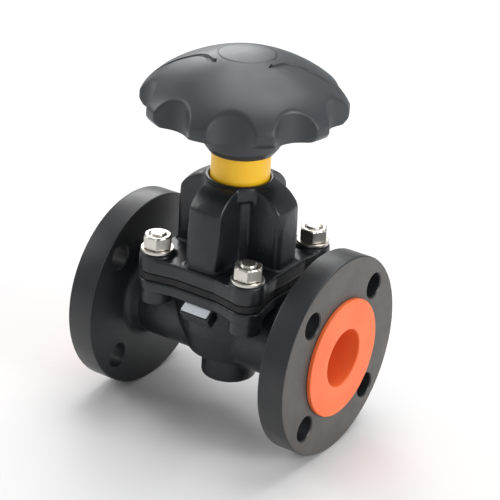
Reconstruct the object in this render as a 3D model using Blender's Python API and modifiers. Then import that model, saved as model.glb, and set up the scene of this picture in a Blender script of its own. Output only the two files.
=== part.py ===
"""Weir-type diaphragm valve, flanged, DN40 (NPS 1 1/2), with a rising handwheel.

The pipe runs along X. The spindle axis is the Z axis, and z = 0 is the lowest point of the
two line flanges. The valve is modelled fully open. Lengths are in metres.
"""

import math

import bmesh
import bpy
from mathutils import Matrix, Vector

MM = 0.001
GAP = 0.3 * MM

# Line connection
BORE_DIAMETER = 36.5 * MM
FACE_TO_FACE = 159.0 * MM
FLANGE_DIAMETER = 127.0 * MM
FLANGE_THICKNESS = 17.5 * MM
BOLT_CIRCLE_DIAMETER = 98.4 * MM
BOLT_HOLE_DIAMETER = 15.9 * MM
LINE_BOLTS = 4
FLANGE_CHAMFER = 1.0 * MM

# Lining
LINING_WALL = 3.0 * MM
FACE_RING_DIAMETER = 75.0 * MM
FACE_RING_THICKNESS = 3.0 * MM
SEAT_RING_THICKNESS = 2.5 * MM
SEAT_RING_WIDTH = 5.0 * MM

# Flow passage over the weir
SEAT_RISE = 32.5 * MM
CREST_RISE = 14.5 * MM
CREST_HALF_WIDTH = 13.0 * MM
BOWL_RADIUS = 27.0 * MM
HUMP_HALF_LENGTH = 58.0 * MM
HUMP_RADIUS = 10.0 * MM

# Body casting
BARREL_WALL = 5.2 * MM
BOWL_WALL = 7.0 * MM
BODY_FLANGE_THICKNESS = 7.0 * MM
STUD_BOSS_HEIGHT = 16.0 * MM
FOOT_RADIUS = 17.5 * MM
FOOT_CLEARANCE = 26.0 * MM

# Bonnet joint
STUD_X = 33.2 * MM
STUD_Y = 36.0 * MM
STUD_RADIUS = 5.0 * MM
STUD_CLEARANCE = 0.5 * MM
EAR_RADIUS = 11.0 * MM
WAIST_INSET = 3.6 * MM
DIAPHRAGM_EDGE = 4.6 * MM
DIAPHRAGM_INSET = 0.4 * MM
BONNET_FLANGE_THICKNESS = 9.4 * MM
EAR_THICKNESS = 11.6 * MM
WASHER_RADIUS = 10.2 * MM
WASHER_THICKNESS = 2.0 * MM
NUT_ACROSS_FLATS = 16.0 * MM
NUT_HEIGHT = 8.2 * MM
STUD_PROJECTION = 1.2 * MM
STUD_CHAMFER = 0.8 * MM
STUD_HOLE_FLOOR = 2.0 * MM
NUT_CHAMFER = 0.24

# Diaphragm and compressor
TRAVEL = 16.0 * MM
PAD_RADIUS = 15.5 * MM
PAD_THICKNESS = 6.0 * MM
MEMBRANE = 3.4 * MM
HEAD_RADIUS = 16.5 * MM
HEAD_THICKNESS = 5.5 * MM
HEAD_CHAMFER = 2.5 * MM
HEAD_CHAMFER_HEIGHT = 2.0 * MM
GUIDE_RADIUS = 13.6 * MM
GUIDE_LENGTH = 26.0 * MM
GUIDE_CLEARANCE = 0.4 * MM
KEY_WIDTH = 5.0 * MM
KEY_PROJECTION = 3.0 * MM
KEY_LENGTH = 15.6 * MM
KEY_CLEARANCE = 0.4 * MM
KEYWAY_STOP = 4.0 * MM
DIAPHRAGM_STUD_RADIUS = 4.0 * MM
DIAPHRAGM_STUD_ENGAGEMENT = 8.0 * MM
STUD_HEAD_RADIUS = 7.0 * MM
STUD_HEAD_THICKNESS = 2.2 * MM
STUD_HEAD_DEPTH = 1.9 * MM
RIDGE_LIFT = 3.0 * MM

# Bonnet tower
BONNET_HEIGHT = 59.8 * MM
CHAMBER_DEPTH = 6.4 * MM
CHAMBER_RELIEF = 1.2 * MM
TOWER_REACH_X = 37.5 * MM
TOWER_REACH_Y = 39.0 * MM
LOBE_HALF_WIDTH = 11.5 * MM
LOBE_CORNER = 3.5 * MM
SHOULDER_DROP = 13.5 * MM
TOWER_CORE_RADIUS = 19.0 * MM
COLLAR_RADIUS = 21.0 * MM
COLLAR_FLARE = 1.2 * MM
COLLAR_EDGE = 1.5 * MM
TOWER_DRAFT = 1.0 * MM
TOWER_TAPER = 2.5 * MM

# Spindle and its bush
SPINDLE_RADIUS = 7.8 * MM
COLLAR_THICKNESS = 5.0 * MM
SPINDLE_COLLAR_RADIUS = 10.0 * MM
RUNNING_CLEARANCE = 0.3 * MM
RETAINER_THICKNESS = 5.0 * MM
THRUST_WASHER_THICKNESS = 1.5 * MM
BUSH_RADIUS = 11.6 * MM
BUSH_LENGTH = 16.0 * MM
BUSH_FLANGE_THICKNESS = 2.0 * MM
BUSH_EDGE = 0.6 * MM
O_RING_CORD = 2.0 * MM
O_RING_PLAY = 0.6 * MM
O_RING_DEPTH = 1.5 * MM

# Position indicator
SLEEVE_RADIUS = 18.2 * MM
SLEEVE_WALL = 2.4 * MM
SLEEVE_EDGE = 0.5 * MM
SLEEVE_TO_BUSH = 1.2 * MM
SLEEVE_SEAT_DEPTH = 3.7 * MM
SLEEVE_OVERLAP = 3.7 * MM

# Handwheel
WHEEL_RADIUS = 62.5 * MM
WHEEL_WALL = 5.0 * MM
RIM_DEPTH = 10.0 * MM
GRIP_DEPTH = 8.0 * MM
DOME_RISE = 30.5 * MM
GRIP_LOBES = 10
SCALLOP_RADIUS = 18.0 * MM
SCALLOP_DEPTH = 7.5 * MM
SCALLOP_LEAN = 4.0
SCALLOP_PHASE = 9.0
GRIP_WALL = 3.0 * MM
HUB_RADIUS = 23.2 * MM
HUB_TO_RIM = 24.2 * MM
HUB_WALL = 1.6 * MM
SKIRT_CLEARANCE = 0.5 * MM
DRIVE_ACROSS_FLATS = 11.0 * MM
DRIVE_CLEARANCE = 0.2 * MM
DRIVE_LENGTH = 16.0 * MM
CAP_RADIUS = 17.0 * MM
CAP_SEAT = 1.6 * MM
WHEEL_NUT_POCKET = 12.5 * MM
WHEEL_NUT_ACROSS_FLATS = 17.0 * MM
WHEEL_NUT_HEIGHT = 8.0 * MM
WHEEL_WASHER_RADIUS = 11.0 * MM
WHEEL_WASHER_THICKNESS = 2.0 * MM
SPINDLE_TIP_RADIUS = 4.9 * MM
SPINDLE_TIP_PROJECTION = 1.0 * MM

# Data plate
PLATE_LENGTH = 18.6 * MM
PLATE_HEIGHT = 6.4 * MM
PLATE_THICKNESS = 0.8 * MM
PLATE_SLOPE = 32.0
PLATE_OFFSET = 3.0 * MM
PLATE_PAD_DEPTH = 9.0 * MM
PLATE_PAD_MARGIN = 1.2 * MM
PLATE_PAD_BITE = 3.2 * MM
PLATE_PAD_DROP = 0.4 * MM

# Heights, stacked from the pipe axis upwards
PIPE_Z = FLANGE_DIAMETER / 2
CREST_Z = PIPE_Z + CREST_RISE
SEAT_Z = PIPE_Z + SEAT_RISE
BODY_FLANGE_Z = SEAT_Z - BODY_FLANGE_THICKNESS
DIAPHRAGM_Z = SEAT_Z + GAP
BONNET_Z = DIAPHRAGM_Z + DIAPHRAGM_EDGE + GAP
EAR_TOP_Z = BONNET_Z + EAR_THICKNESS
NUT_Z = EAR_TOP_Z + GAP + WASHER_THICKNESS + GAP
NUT_TOP_Z = NUT_Z + NUT_HEIGHT
PAD_Z = CREST_Z + TRAVEL + GAP
HEAD_Z = PAD_Z + PAD_THICKNESS + GAP
HEAD_TOP_Z = HEAD_Z + HEAD_THICKNESS
GUIDE_TOP_Z = HEAD_TOP_Z + GUIDE_LENGTH
CHAMBER_Z = max(BONNET_Z + CHAMBER_DEPTH, HEAD_TOP_Z + GAP)
BONNET_TOP_Z = BONNET_Z + BONNET_HEIGHT
BUSH_Z = BONNET_TOP_Z - BUSH_LENGTH
BUSH_TOP_Z = BONNET_TOP_Z + GAP + BUSH_FLANGE_THICKNESS
CUP_FLOOR_Z = HEAD_TOP_Z + DIAPHRAGM_STUD_ENGAGEMENT - HEAD_THICKNESS + 2 * GAP
COLLAR_Z = CUP_FLOOR_Z + GAP + THRUST_WASHER_THICKNESS + GAP
RETAINER_Z = COLLAR_Z + COLLAR_THICKNESS + GAP
HUB_Z = BONNET_TOP_Z + GAP + TRAVEL
SLEEVE_Z = BONNET_TOP_Z - SLEEVE_SEAT_DEPTH
SLEEVE_TOP_Z = HUB_Z + SLEEVE_OVERLAP
HUB_CAVITY_Z = max(SLEEVE_TOP_Z, BUSH_TOP_Z) + TRAVEL + 2 * GAP
RIM_Z = HUB_Z + HUB_TO_RIM
RIM_TOP_Z = RIM_Z + GRIP_DEPTH
DRIVE_Z = HUB_CAVITY_Z + GAP
DRIVE_TOP_Z = DRIVE_Z + DRIVE_LENGTH

BORE_RADIUS = BORE_DIAMETER / 2
HALF_LENGTH = FACE_TO_FACE / 2
PASSAGE_CLEARANCE = LINING_WALL + GAP
SKIRT_INNER_RADIUS = SLEEVE_RADIUS + SKIRT_CLEARANCE
BUSH_FLANGE_RADIUS = SLEEVE_RADIUS - SLEEVE_WALL - SLEEVE_TO_BUSH
STUD_HOLE_RADIUS = STUD_RADIUS + STUD_CLEARANCE
STUD_BOTTOM_Z = SEAT_Z - STUD_BOSS_HEIGHT + STUD_HOLE_FLOOR + GAP
OVERLAP = 1.0 * MM
FINE = 64
ROUND = 48
MEDIUM = 32
SMALL = 16


# --- Scene and materials ------------------------------------------------------------------

def new_collection(name, hidden=False):
    """Add a collection to the scene."""
    collection = bpy.data.collections.new(name)
    bpy.context.scene.collection.children.link(collection)
    collection.hide_render = hidden
    return collection


def finish(name, colour, roughness, metallic=0.0):
    """A Principled material of one colour."""
    made = bpy.data.materials.new(name)
    made.use_nodes = True
    shader = made.node_tree.nodes["Principled BSDF"]
    shader.inputs["Base Color"].default_value = (*colour, 1.0)
    shader.inputs["Roughness"].default_value = roughness
    shader.inputs["Metallic"].default_value = metallic
    made.diffuse_color = (*colour, 1.0)
    return made


# --- Shapes -------------------------------------------------------------------------------

def place_mesh(name, mesh, collection, material=None):
    """Make an object of a mesh, in a collection."""
    made = bpy.data.objects.new(name, mesh)
    collection.objects.link(made)
    if material:
        mesh.materials.clear()
        mesh.materials.append(material)
    return made


def from_bmesh(name, bm, collection, material=None):
    """Turn a bmesh into an object whose faces point out."""
    bmesh.ops.recalc_face_normals(bm, faces=bm.faces)
    mesh = bpy.data.meshes.new(name)
    bm.to_mesh(mesh)
    bm.free()
    return place_mesh(name, mesh, collection, material)


def evaluated_copy(source, name, collection, material=None):
    """The evaluated shape of an object as a new mesh object; the source is removed."""
    bpy.context.view_layer.update()
    graph = bpy.context.evaluated_depsgraph_get()
    mesh = bpy.data.meshes.new_from_object(source.evaluated_get(graph))
    bm = bmesh.new()
    bm.from_mesh(mesh)
    bmesh.ops.transform(bm, matrix=source.matrix_world, verts=bm.verts)
    bmesh.ops.remove_doubles(bm, verts=bm.verts, dist=0.001 * MM)
    bmesh.ops.recalc_face_normals(bm, faces=bm.faces)
    bm.to_mesh(mesh)
    bm.free()
    bpy.data.objects.remove(source)
    return place_mesh(name, mesh, collection, material)


def post(name, radius, low, high, collection, at=(0.0, 0.0), sides=ROUND, material=None,
         top_radius=None, turn=0.0):
    """An upright cylinder, cone or prism between two heights."""
    bm = bmesh.new()
    top = radius if top_radius is None else top_radius
    place = Matrix.Translation((at[0], at[1], (low + high) / 2)) @ Matrix.Rotation(turn, 4, "Z")
    bmesh.ops.create_cone(bm, cap_ends=True, segments=sides, radius1=radius, radius2=top,
                          depth=high - low, matrix=place)
    return from_bmesh(name, bm, collection, material)


def pipe(name, radius, start, end, collection, at=(0.0, PIPE_Z), sides=ROUND, material=None):
    """A cylinder along X between two stations, at a place in Y and Z."""
    bm = bmesh.new()
    place = Matrix.Translation(((start + end) / 2, at[0], at[1])) @ Matrix.Rotation(math.pi / 2, 4, "Y")
    bmesh.ops.create_cone(bm, cap_ends=True, segments=sides, radius1=radius, radius2=radius,
                          depth=end - start, matrix=place)
    return from_bmesh(name, bm, collection, material)


def box(name, size, centre, collection, material=None, turn=None):
    """A box of a size, about a centre, turned by a matrix if one is given."""
    bm = bmesh.new()
    place = Matrix.Translation(centre) @ (turn or Matrix.Identity(4)) @ Matrix.Diagonal((*size, 1.0))
    bmesh.ops.create_cube(bm, size=1.0, matrix=place)
    return from_bmesh(name, bm, collection, material)


def turned(name, profile, collection, sides=ROUND, material=None):
    """A solid turned about the Z axis from (radius, height) points, outer side downwards."""
    mesh = bpy.data.meshes.new(name + "_profile")
    points = [(radius, 0.0, height) for radius, height in profile]
    edges = [(i, i + 1) for i in range(len(points) - 1)]
    if profile[0][0] > 0:
        edges.append((len(points) - 1, 0))
    mesh.from_pydata(points, edges, [])
    source = bpy.data.objects.new(name + "_profile", mesh)
    collection.objects.link(source)
    screw = source.modifiers.new("Turn", "SCREW")
    screw.steps = sides
    screw.render_steps = sides
    screw.use_merge_vertices = True
    screw.merge_threshold = 0.00001
    return evaluated_copy(source, name, collection, material)


def extruded(name, outline, low, high, collection, material=None):
    """A flat outline of (x, y) points extruded between two heights."""
    curve = bpy.data.curves.new(name + "_outline", "CURVE")
    curve.dimensions = "2D"
    curve.fill_mode = "BOTH"
    curve.extrude = (high - low) / 2
    spline = curve.splines.new("POLY")
    spline.points.add(len(outline) - 1)
    for point, (x, y) in zip(spline.points, outline):
        point.co = (x, y, 0.0, 1.0)
    spline.use_cyclic_u = True
    source = bpy.data.objects.new(name + "_outline", curve)
    source.location.z = (low + high) / 2
    collection.objects.link(source)
    return evaluated_copy(source, name, collection, material)


def tube(name, path, collection, material=None):
    """A round tube through (x, z, radius) stations in the plane y = 0."""
    curve = bpy.data.curves.new(name + "_path", "CURVE")
    curve.dimensions = "3D"
    curve.bevel_depth = 1.0
    curve.bevel_resolution = 10
    curve.use_fill_caps = True
    spline = curve.splines.new("POLY")
    spline.points.add(len(path) - 1)
    for point, (x, z, radius) in zip(spline.points, path):
        point.co = (x, 0.0, z, 1.0)
        point.radius = radius
    source = bpy.data.objects.new(name + "_path", curve)
    collection.objects.link(source)
    return evaluated_copy(source, name, collection, material)


def combine(target, other, operation):
    """Apply one Boolean to a mesh object and remove the other."""
    cut = target.modifiers.new("Combine", "BOOLEAN")
    cut.object = other
    cut.operation = operation
    cut.solver = "EXACT"
    name = target.name
    collection = target.users_collection[0]
    material = target.data.materials[0] if target.data.materials else None
    target.name = name + "_before"
    made = evaluated_copy(target, name, collection, material)
    bpy.data.objects.remove(other)
    return made


def join(target, others):
    """Union several objects into the first."""
    for other in others:
        target = combine(target, other, "UNION")
    return target


def cut(target, others):
    """Subtract several objects from the first."""
    for other in others:
        target = combine(target, other, "DIFFERENCE")
    return target


def smooth(made, angle=35.0):
    """Shade round faces smooth and keep real edges sharp."""
    made.data.shade_smooth()
    made.data.set_sharp_from_angle(angle=math.radians(angle))
    return made


def arc(centre, radius, start, end, count):
    """Points along an arc, angles in degrees."""
    angles = [math.radians(start + (end - start) * i / count) for i in range(count + 1)]
    return [(centre[0] + radius * math.cos(a), centre[1] + radius * math.sin(a)) for a in angles]


# --- Outlines -----------------------------------------------------------------------------

def stud_places():
    """The four stud axes, going round from the corner at -X, -Y."""
    return [(-STUD_X, -STUD_Y), (STUD_X, -STUD_Y), (STUD_X, STUD_Y), (-STUD_X, STUD_Y)]


def ear_outline(grow=0.0):
    """The bonnet joint's outline: an ear round each stud and a shallow waist between ears."""
    radius = EAR_RADIUS + grow
    wrap = 24.0
    half_x = STUD_X + EAR_RADIUS - WAIST_INSET + grow
    half_y = STUD_Y + EAR_RADIUS - WAIST_INSET + grow
    run_x = STUD_X * 0.45
    run_y = STUD_Y * 0.45
    points = []
    points += arc((STUD_X, -STUD_Y), radius, -90 - wrap, wrap, 12)
    points += [(half_x, -run_y), (half_x, run_y)]
    points += arc((STUD_X, STUD_Y), radius, -wrap, 90 + wrap, 12)
    points += [(run_x, half_y), (-run_x, half_y)]
    points += arc((-STUD_X, STUD_Y), radius, 90 - wrap, 180 + wrap, 12)
    points += [(-half_x, run_y), (-half_x, -run_y)]
    points += arc((-STUD_X, -STUD_Y), radius, 180 - wrap, 270 + wrap, 12)
    points += [(-run_x, -half_y), (run_x, -half_y)]
    return points


def rounded_rectangle(half_x, half_y, radius, count=5):
    """A rectangle about the origin with round corners."""
    points = []
    for sign_x, sign_y, start in ((1, -1, -90), (1, 1, 0), (-1, 1, 90), (-1, -1, 180)):
        centre = (sign_x * (half_x - radius), sign_y * (half_y - radius))
        points += arc(centre, radius, start, start + 90, count)
    return points


def passage_path(grow=0.0, reach=0.0):
    """Stations of the flow passage: level at the ends, humped and narrower over the weir."""
    end = HALF_LENGTH + FACE_RING_THICKNESS + reach
    hump_z = CREST_Z + OVERLAP + HUMP_RADIUS
    steps = 10
    rising = []
    for i in range(steps + 1):
        t = i / steps
        ease = t * t * (3 - 2 * t)
        x = -HUMP_HALF_LENGTH * (1 - t)
        rising.append((x, PIPE_Z + (hump_z - PIPE_Z) * ease,
                       BORE_RADIUS + (HUMP_RADIUS - BORE_RADIUS) * ease + grow))
    left = [(-end, PIPE_Z, BORE_RADIUS + grow)] + rising
    right = [(-x, z, radius) for x, z, radius in reversed(left[:-1])]
    return left + right


def passage(name, collection, grow=0.0, reach=0.0, top=0.0):
    """The space that the fluid has, grown all round: the humped bore and the bowl above the weir."""
    bowl_slope = (BOWL_RADIUS - CREST_HALF_WIDTH) / (SEAT_Z - CREST_Z)
    high = SEAT_Z + top
    bowl = post(name + "_bowl", CREST_HALF_WIDTH + grow * 0.6, CREST_Z - grow, high, collection,
                top_radius=CREST_HALF_WIDTH + grow + (high - CREST_Z) * bowl_slope)
    return join(tube(name, passage_path(grow, reach), collection), [bowl])


# --- Body ---------------------------------------------------------------------------------

def line_bolt_places():
    """Centres (y, z) of the line-bolt holes, straddling the centre lines."""
    radius = BOLT_CIRCLE_DIAMETER / 2
    angles = [2 * math.pi * (i + 0.5) / LINE_BOLTS for i in range(LINE_BOLTS)]
    return [(radius * math.cos(a), PIPE_Z + radius * math.sin(a)) for a in angles]


def build_line_flange(name, sign, parts, cutters, material):
    """One line flange of the body, with broken edges, its bore and its bolt holes."""
    face = HALF_LENGTH
    back = HALF_LENGTH - FLANGE_THICKNESS
    low, high = sorted((sign * back, sign * face))
    bm = bmesh.new()
    place = Matrix.Translation(((low + high) / 2, 0.0, PIPE_Z)) @ Matrix.Rotation(math.pi / 2, 4, "Y")
    bmesh.ops.create_cone(bm, cap_ends=True, segments=FINE, radius1=FLANGE_DIAMETER / 2,
                          radius2=FLANGE_DIAMETER / 2, depth=high - low, matrix=place)
    rims = [e for e in bm.edges if any(len(f.verts) > 4 for f in e.link_faces)]
    bmesh.ops.bevel(bm, geom=rims, offset=FLANGE_CHAMFER, segments=1, affect="EDGES", profile=0.5,
                    material=-1)
    flange = from_bmesh(name, bm, parts)
    low -= OVERLAP
    high += OVERLAP
    tools = [pipe("flange_bore", BORE_RADIUS + PASSAGE_CLEARANCE, low, high, cutters)]
    tools += [pipe(f"bolt_hole_{i}", BOLT_HOLE_DIAMETER / 2, low, high, cutters, at=place, sides=SMALL)
              for i, place in enumerate(line_bolt_places())]
    flange = cut(flange, tools)
    flange.data.materials.clear()
    flange.data.materials.append(material)
    return smooth(flange)


def plate_frame():
    """The matrix whose XY plane is the data plate's sloping seat, +Z out of it."""
    half = PLATE_HEIGHT / 2 + PLATE_PAD_MARGIN
    slope = math.radians(PLATE_SLOPE)
    waist = STUD_Y + EAR_RADIUS - WAIST_INSET
    centre = Vector((PLATE_OFFSET, PLATE_PAD_BITE - waist - half * math.cos(slope),
                     BODY_FLANGE_Z - half * math.sin(slope) - PLATE_PAD_DROP))
    return Matrix.Translation(centre) @ Matrix.Rotation(slope, 4, "X")


BARREL_RADIUS = BORE_RADIUS + PASSAGE_CLEARANCE + BARREL_WALL
BOWL_OUTER_RADIUS = BOWL_RADIUS + PASSAGE_CLEARANCE + BOWL_WALL


def build_body(parts, cutters, material):
    """The cast body between its line flanges: barrel, bowl, foot and the bonnet joint's flange."""
    end = HALF_LENGTH - FLANGE_THICKNESS - GAP
    body = pipe("valve_body", BARREL_RADIUS, -end, end, parts)
    bowl = turned("bowl", [
        (0.0, SEAT_Z - OVERLAP),
        (BOWL_OUTER_RADIUS, SEAT_Z - OVERLAP),
        (BOWL_OUTER_RADIUS, BODY_FLANGE_Z - 3 * MM),
        (BOWL_OUTER_RADIUS * 0.9, PIPE_Z),
        (BOWL_OUTER_RADIUS * 0.72, PIPE_Z - BARREL_RADIUS * 0.7),
        (0.0, PIPE_Z - BARREL_RADIUS * 0.8),
    ], cutters)
    foot = post("foot", FOOT_RADIUS, FOOT_CLEARANCE, PIPE_Z, cutters, sides=MEDIUM)
    flange = extruded("joint_flange", ear_outline(), BODY_FLANGE_Z, SEAT_Z, cutters)
    bosses = [post(f"boss_{i}", EAR_RADIUS - 0.6 * MM, SEAT_Z - STUD_BOSS_HEIGHT,
                   BODY_FLANGE_Z + OVERLAP, cutters, at=place, sides=MEDIUM)
              for i, place in enumerate(stud_places())]
    frame = plate_frame()
    margin = 2 * PLATE_PAD_MARGIN
    pad = box("plate_pad", (PLATE_LENGTH + margin, PLATE_HEIGHT + margin, PLATE_PAD_DEPTH),
              frame @ Vector((0, 0, -PLATE_PAD_DEPTH / 2)), cutters, turn=frame.to_3x3().to_4x4())
    body = join(body, [bowl, foot, flange, pad] + bosses)

    passage_cut = passage("passage_cut", cutters, grow=PASSAGE_CLEARANCE, reach=OVERLAP, top=OVERLAP)
    ring_z = SEAT_Z - SEAT_RING_THICKNESS - GAP
    ring_cut = post("seat_ring_cut", BOWL_RADIUS + SEAT_RING_WIDTH + PASSAGE_CLEARANCE, ring_z,
                    SEAT_Z + OVERLAP, cutters)
    body = cut(body, [passage_cut, ring_cut])
    for i, place in enumerate(stud_places()):
        body = cut(body, [post(f"stud_hole_{i}", STUD_RADIUS + GAP, STUD_BOTTOM_Z - GAP,
                               SEAT_Z + OVERLAP, cutters, at=place, sides=SMALL)])
    body.data.materials.clear()
    body.data.materials.append(material)
    return smooth(body)


def build_mouth(name, sign, parts, cutters, material):
    """The lining's straight end: a tube through the flange and a ring proud of its face."""
    seam = HUMP_HALF_LENGTH + GAP
    face = HALF_LENGTH + GAP
    end = HALF_LENGTH + FACE_RING_THICKNESS
    mouth = pipe(name, BORE_RADIUS + LINING_WALL, *sorted((sign * seam, sign * end)), parts)
    ring_shape = pipe("face_ring", FACE_RING_DIAMETER / 2, *sorted((sign * face, sign * end)), cutters)
    low, high = sorted((sign * seam, sign * end))
    bore = pipe("mouth_bore", BORE_RADIUS, low - OVERLAP, high + OVERLAP, cutters)
    mouth = cut(join(mouth, [ring_shape]), [bore])
    mouth.data.materials.clear()
    mouth.data.materials.append(material)
    return smooth(mouth)


def build_lining(parts, cutters, material):
    """The moulded lining between its straight ends: the weir, the bowl and the seat ring."""
    lining = passage("body_lining", parts, grow=LINING_WALL)
    seat = post("seat_ring", BOWL_RADIUS + SEAT_RING_WIDTH + LINING_WALL,
                SEAT_Z - SEAT_RING_THICKNESS, SEAT_Z, cutters)
    lining = join(lining, [seat])
    size = 2 * HUMP_HALF_LENGTH
    keep = box("lining_middle", (size, size, size), (0.0, 0.0, SEAT_Z - HUMP_HALF_LENGTH), cutters)
    lining = combine(lining, keep, "INTERSECT")
    lining = cut(lining, [passage("hollow", cutters, reach=OVERLAP, top=2 * OVERLAP)])
    lining.data.materials.clear()
    lining.data.materials.append(material)
    return smooth(lining)


def build_data_plate(parts, material):
    """The blank data plate on its pad."""
    frame = plate_frame()
    centre = frame @ Vector((0, 0, GAP + PLATE_THICKNESS / 2))
    box("data_plate", (PLATE_LENGTH, PLATE_HEIGHT, PLATE_THICKNESS), centre, parts,
        turn=frame.to_3x3().to_4x4(), material=material)


# --- Diaphragm ----------------------------------------------------------------------------

def build_diaphragm(parts, cutters, material):
    """The rubber diaphragm: clamped edge with stud holes, convolution and central pad."""
    low = DIAPHRAGM_Z
    high = DIAPHRAGM_Z + DIAPHRAGM_EDGE
    edge = extruded("diaphragm", ear_outline(-DIAPHRAGM_INSET), low, high, parts)
    middle = (low + high) / 2
    lift = min(RIDGE_LIFT, CHAMBER_Z - middle - MEMBRANE / 2 - 3 * GAP)
    pad_middle = PAD_Z + PAD_THICKNESS / 2
    half = MEMBRANE / 2
    outer = BOWL_RADIUS + 1.5 * MM
    ridge = (PAD_RADIUS + BOWL_RADIUS) / 2 + 1.5 * MM
    socket = DIAPHRAGM_STUD_RADIUS + GAP
    head = STUD_HEAD_RADIUS + GAP
    head_low = PAD_Z + STUD_HEAD_DEPTH - GAP
    head_high = PAD_Z + STUD_HEAD_DEPTH + STUD_HEAD_THICKNESS + GAP
    middle_shape = turned("membrane", [
        (0.0, head_low),
        (head, head_low),
        (head, head_high),
        (socket, head_high),
        (socket, PAD_Z + PAD_THICKNESS),
        (PAD_RADIUS, PAD_Z + PAD_THICKNESS),
        (PAD_RADIUS + 2 * MM, pad_middle + half + 0.4 * MM),
        (ridge - 2 * MM, middle + lift * 0.8 + half),
        (ridge, middle + lift + half),
        (ridge + 2 * MM, middle + lift * 0.8 + half),
        (outer, middle + half),
        (outer, middle - half),
        (ridge + 2 * MM, middle + lift * 0.8 - half),
        (ridge, middle + lift - half),
        (ridge - 2 * MM, middle + lift * 0.8 - half),
        (PAD_RADIUS + 1 * MM, pad_middle - half),
        (PAD_RADIUS - 2 * MM, PAD_Z),
        (0.0, PAD_Z),
    ], cutters, sides=MEDIUM)
    well = post("well", BOWL_RADIUS + 0.2 * MM, low - OVERLAP, high + OVERLAP, cutters, sides=MEDIUM)
    edge = cut(edge, [well])
    edge = join(edge, [middle_shape])
    for i, place in enumerate(stud_places()):
        edge = cut(edge, [post(f"hole_{i}", STUD_HOLE_RADIUS, low - OVERLAP, high + OVERLAP,
                               cutters, at=place, sides=SMALL)])
    edge.data.materials.clear()
    edge.data.materials.append(material)
    return smooth(edge)


def build_diaphragm_stud(parts, material):
    """The stud moulded into the pad, screwed up into the compressor."""
    radius = DIAPHRAGM_STUD_RADIUS
    head_low = PAD_Z + STUD_HEAD_DEPTH
    head_high = head_low + STUD_HEAD_THICKNESS
    return smooth(turned("diaphragm_stud", [
        (0.0, HEAD_Z + DIAPHRAGM_STUD_ENGAGEMENT - GAP),
        (radius, HEAD_Z + DIAPHRAGM_STUD_ENGAGEMENT - GAP),
        (radius, head_high),
        (STUD_HEAD_RADIUS, head_high),
        (STUD_HEAD_RADIUS, head_low),
        (0.0, head_low),
    ], parts, sides=SMALL, material=material))


def build_compressor(parts, cutters, material):
    """The compressor: a head on the pad, a guide with two keys, and a cup for the spindle."""
    cup = SPINDLE_COLLAR_RADIUS + RUNNING_CLEARANCE
    stud = DIAPHRAGM_STUD_RADIUS + GAP
    body = turned("compressor", [
        (cup, GUIDE_TOP_Z),
        (GUIDE_RADIUS, GUIDE_TOP_Z),
        (GUIDE_RADIUS, HEAD_TOP_Z),
        (HEAD_RADIUS, HEAD_TOP_Z),
        (HEAD_RADIUS, HEAD_Z + HEAD_CHAMFER_HEIGHT),
        (HEAD_RADIUS - HEAD_CHAMFER, HEAD_Z),
        (stud, HEAD_Z),
        (stud, HEAD_Z + DIAPHRAGM_STUD_ENGAGEMENT),
        (stud * 0.5, HEAD_Z + DIAPHRAGM_STUD_ENGAGEMENT),
        (stud * 0.5, CUP_FLOOR_Z),
        (cup, CUP_FLOOR_Z),
    ], parts, sides=MEDIUM)
    reach = 2 * (GUIDE_RADIUS + KEY_PROJECTION)
    keys = box("keys", (reach, KEY_WIDTH, KEY_LENGTH),
               (0.0, 0.0, HEAD_TOP_Z + GUIDE_LENGTH * 0.5), cutters)
    keys = cut(keys, [post("keys_middle", GUIDE_RADIUS - OVERLAP, HEAD_Z, GUIDE_TOP_Z, cutters)])
    body = join(body, [keys])
    body.data.materials.clear()
    body.data.materials.append(material)
    return smooth(body)


# --- Bonnet -------------------------------------------------------------------------------

def tower_profile():
    """The tower's outer profile: near-upright walls, a round shoulder and a collar."""
    reach = max(TOWER_REACH_X, TOWER_REACH_Y)
    foot_z = BONNET_Z + BONNET_FLANGE_THICKNESS - OVERLAP
    shoulder_z = BONNET_TOP_Z - SHOULDER_DROP
    start_radius = COLLAR_RADIUS + COLLAR_FLARE
    start_z = BONNET_TOP_Z - COLLAR_EDGE
    spread = reach + TOWER_DRAFT - TOWER_TAPER - start_radius
    slope = [(COLLAR_RADIUS, BONNET_TOP_Z), (start_radius, start_z)]
    steps = 9
    for i in range(1, steps + 1):
        t = i / steps
        bulge = math.sin(t * math.pi / 2)
        drop = 1 - math.cos(t * math.pi / 2)
        slope.append((start_radius + spread * (0.55 * t + 0.45 * bulge),
                      start_z + (shoulder_z - start_z) * (0.45 * t + 0.55 * drop)))
    return [(0.0, BONNET_TOP_Z)] + slope + [(reach + TOWER_DRAFT, foot_z), (0.0, foot_z)]


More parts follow.
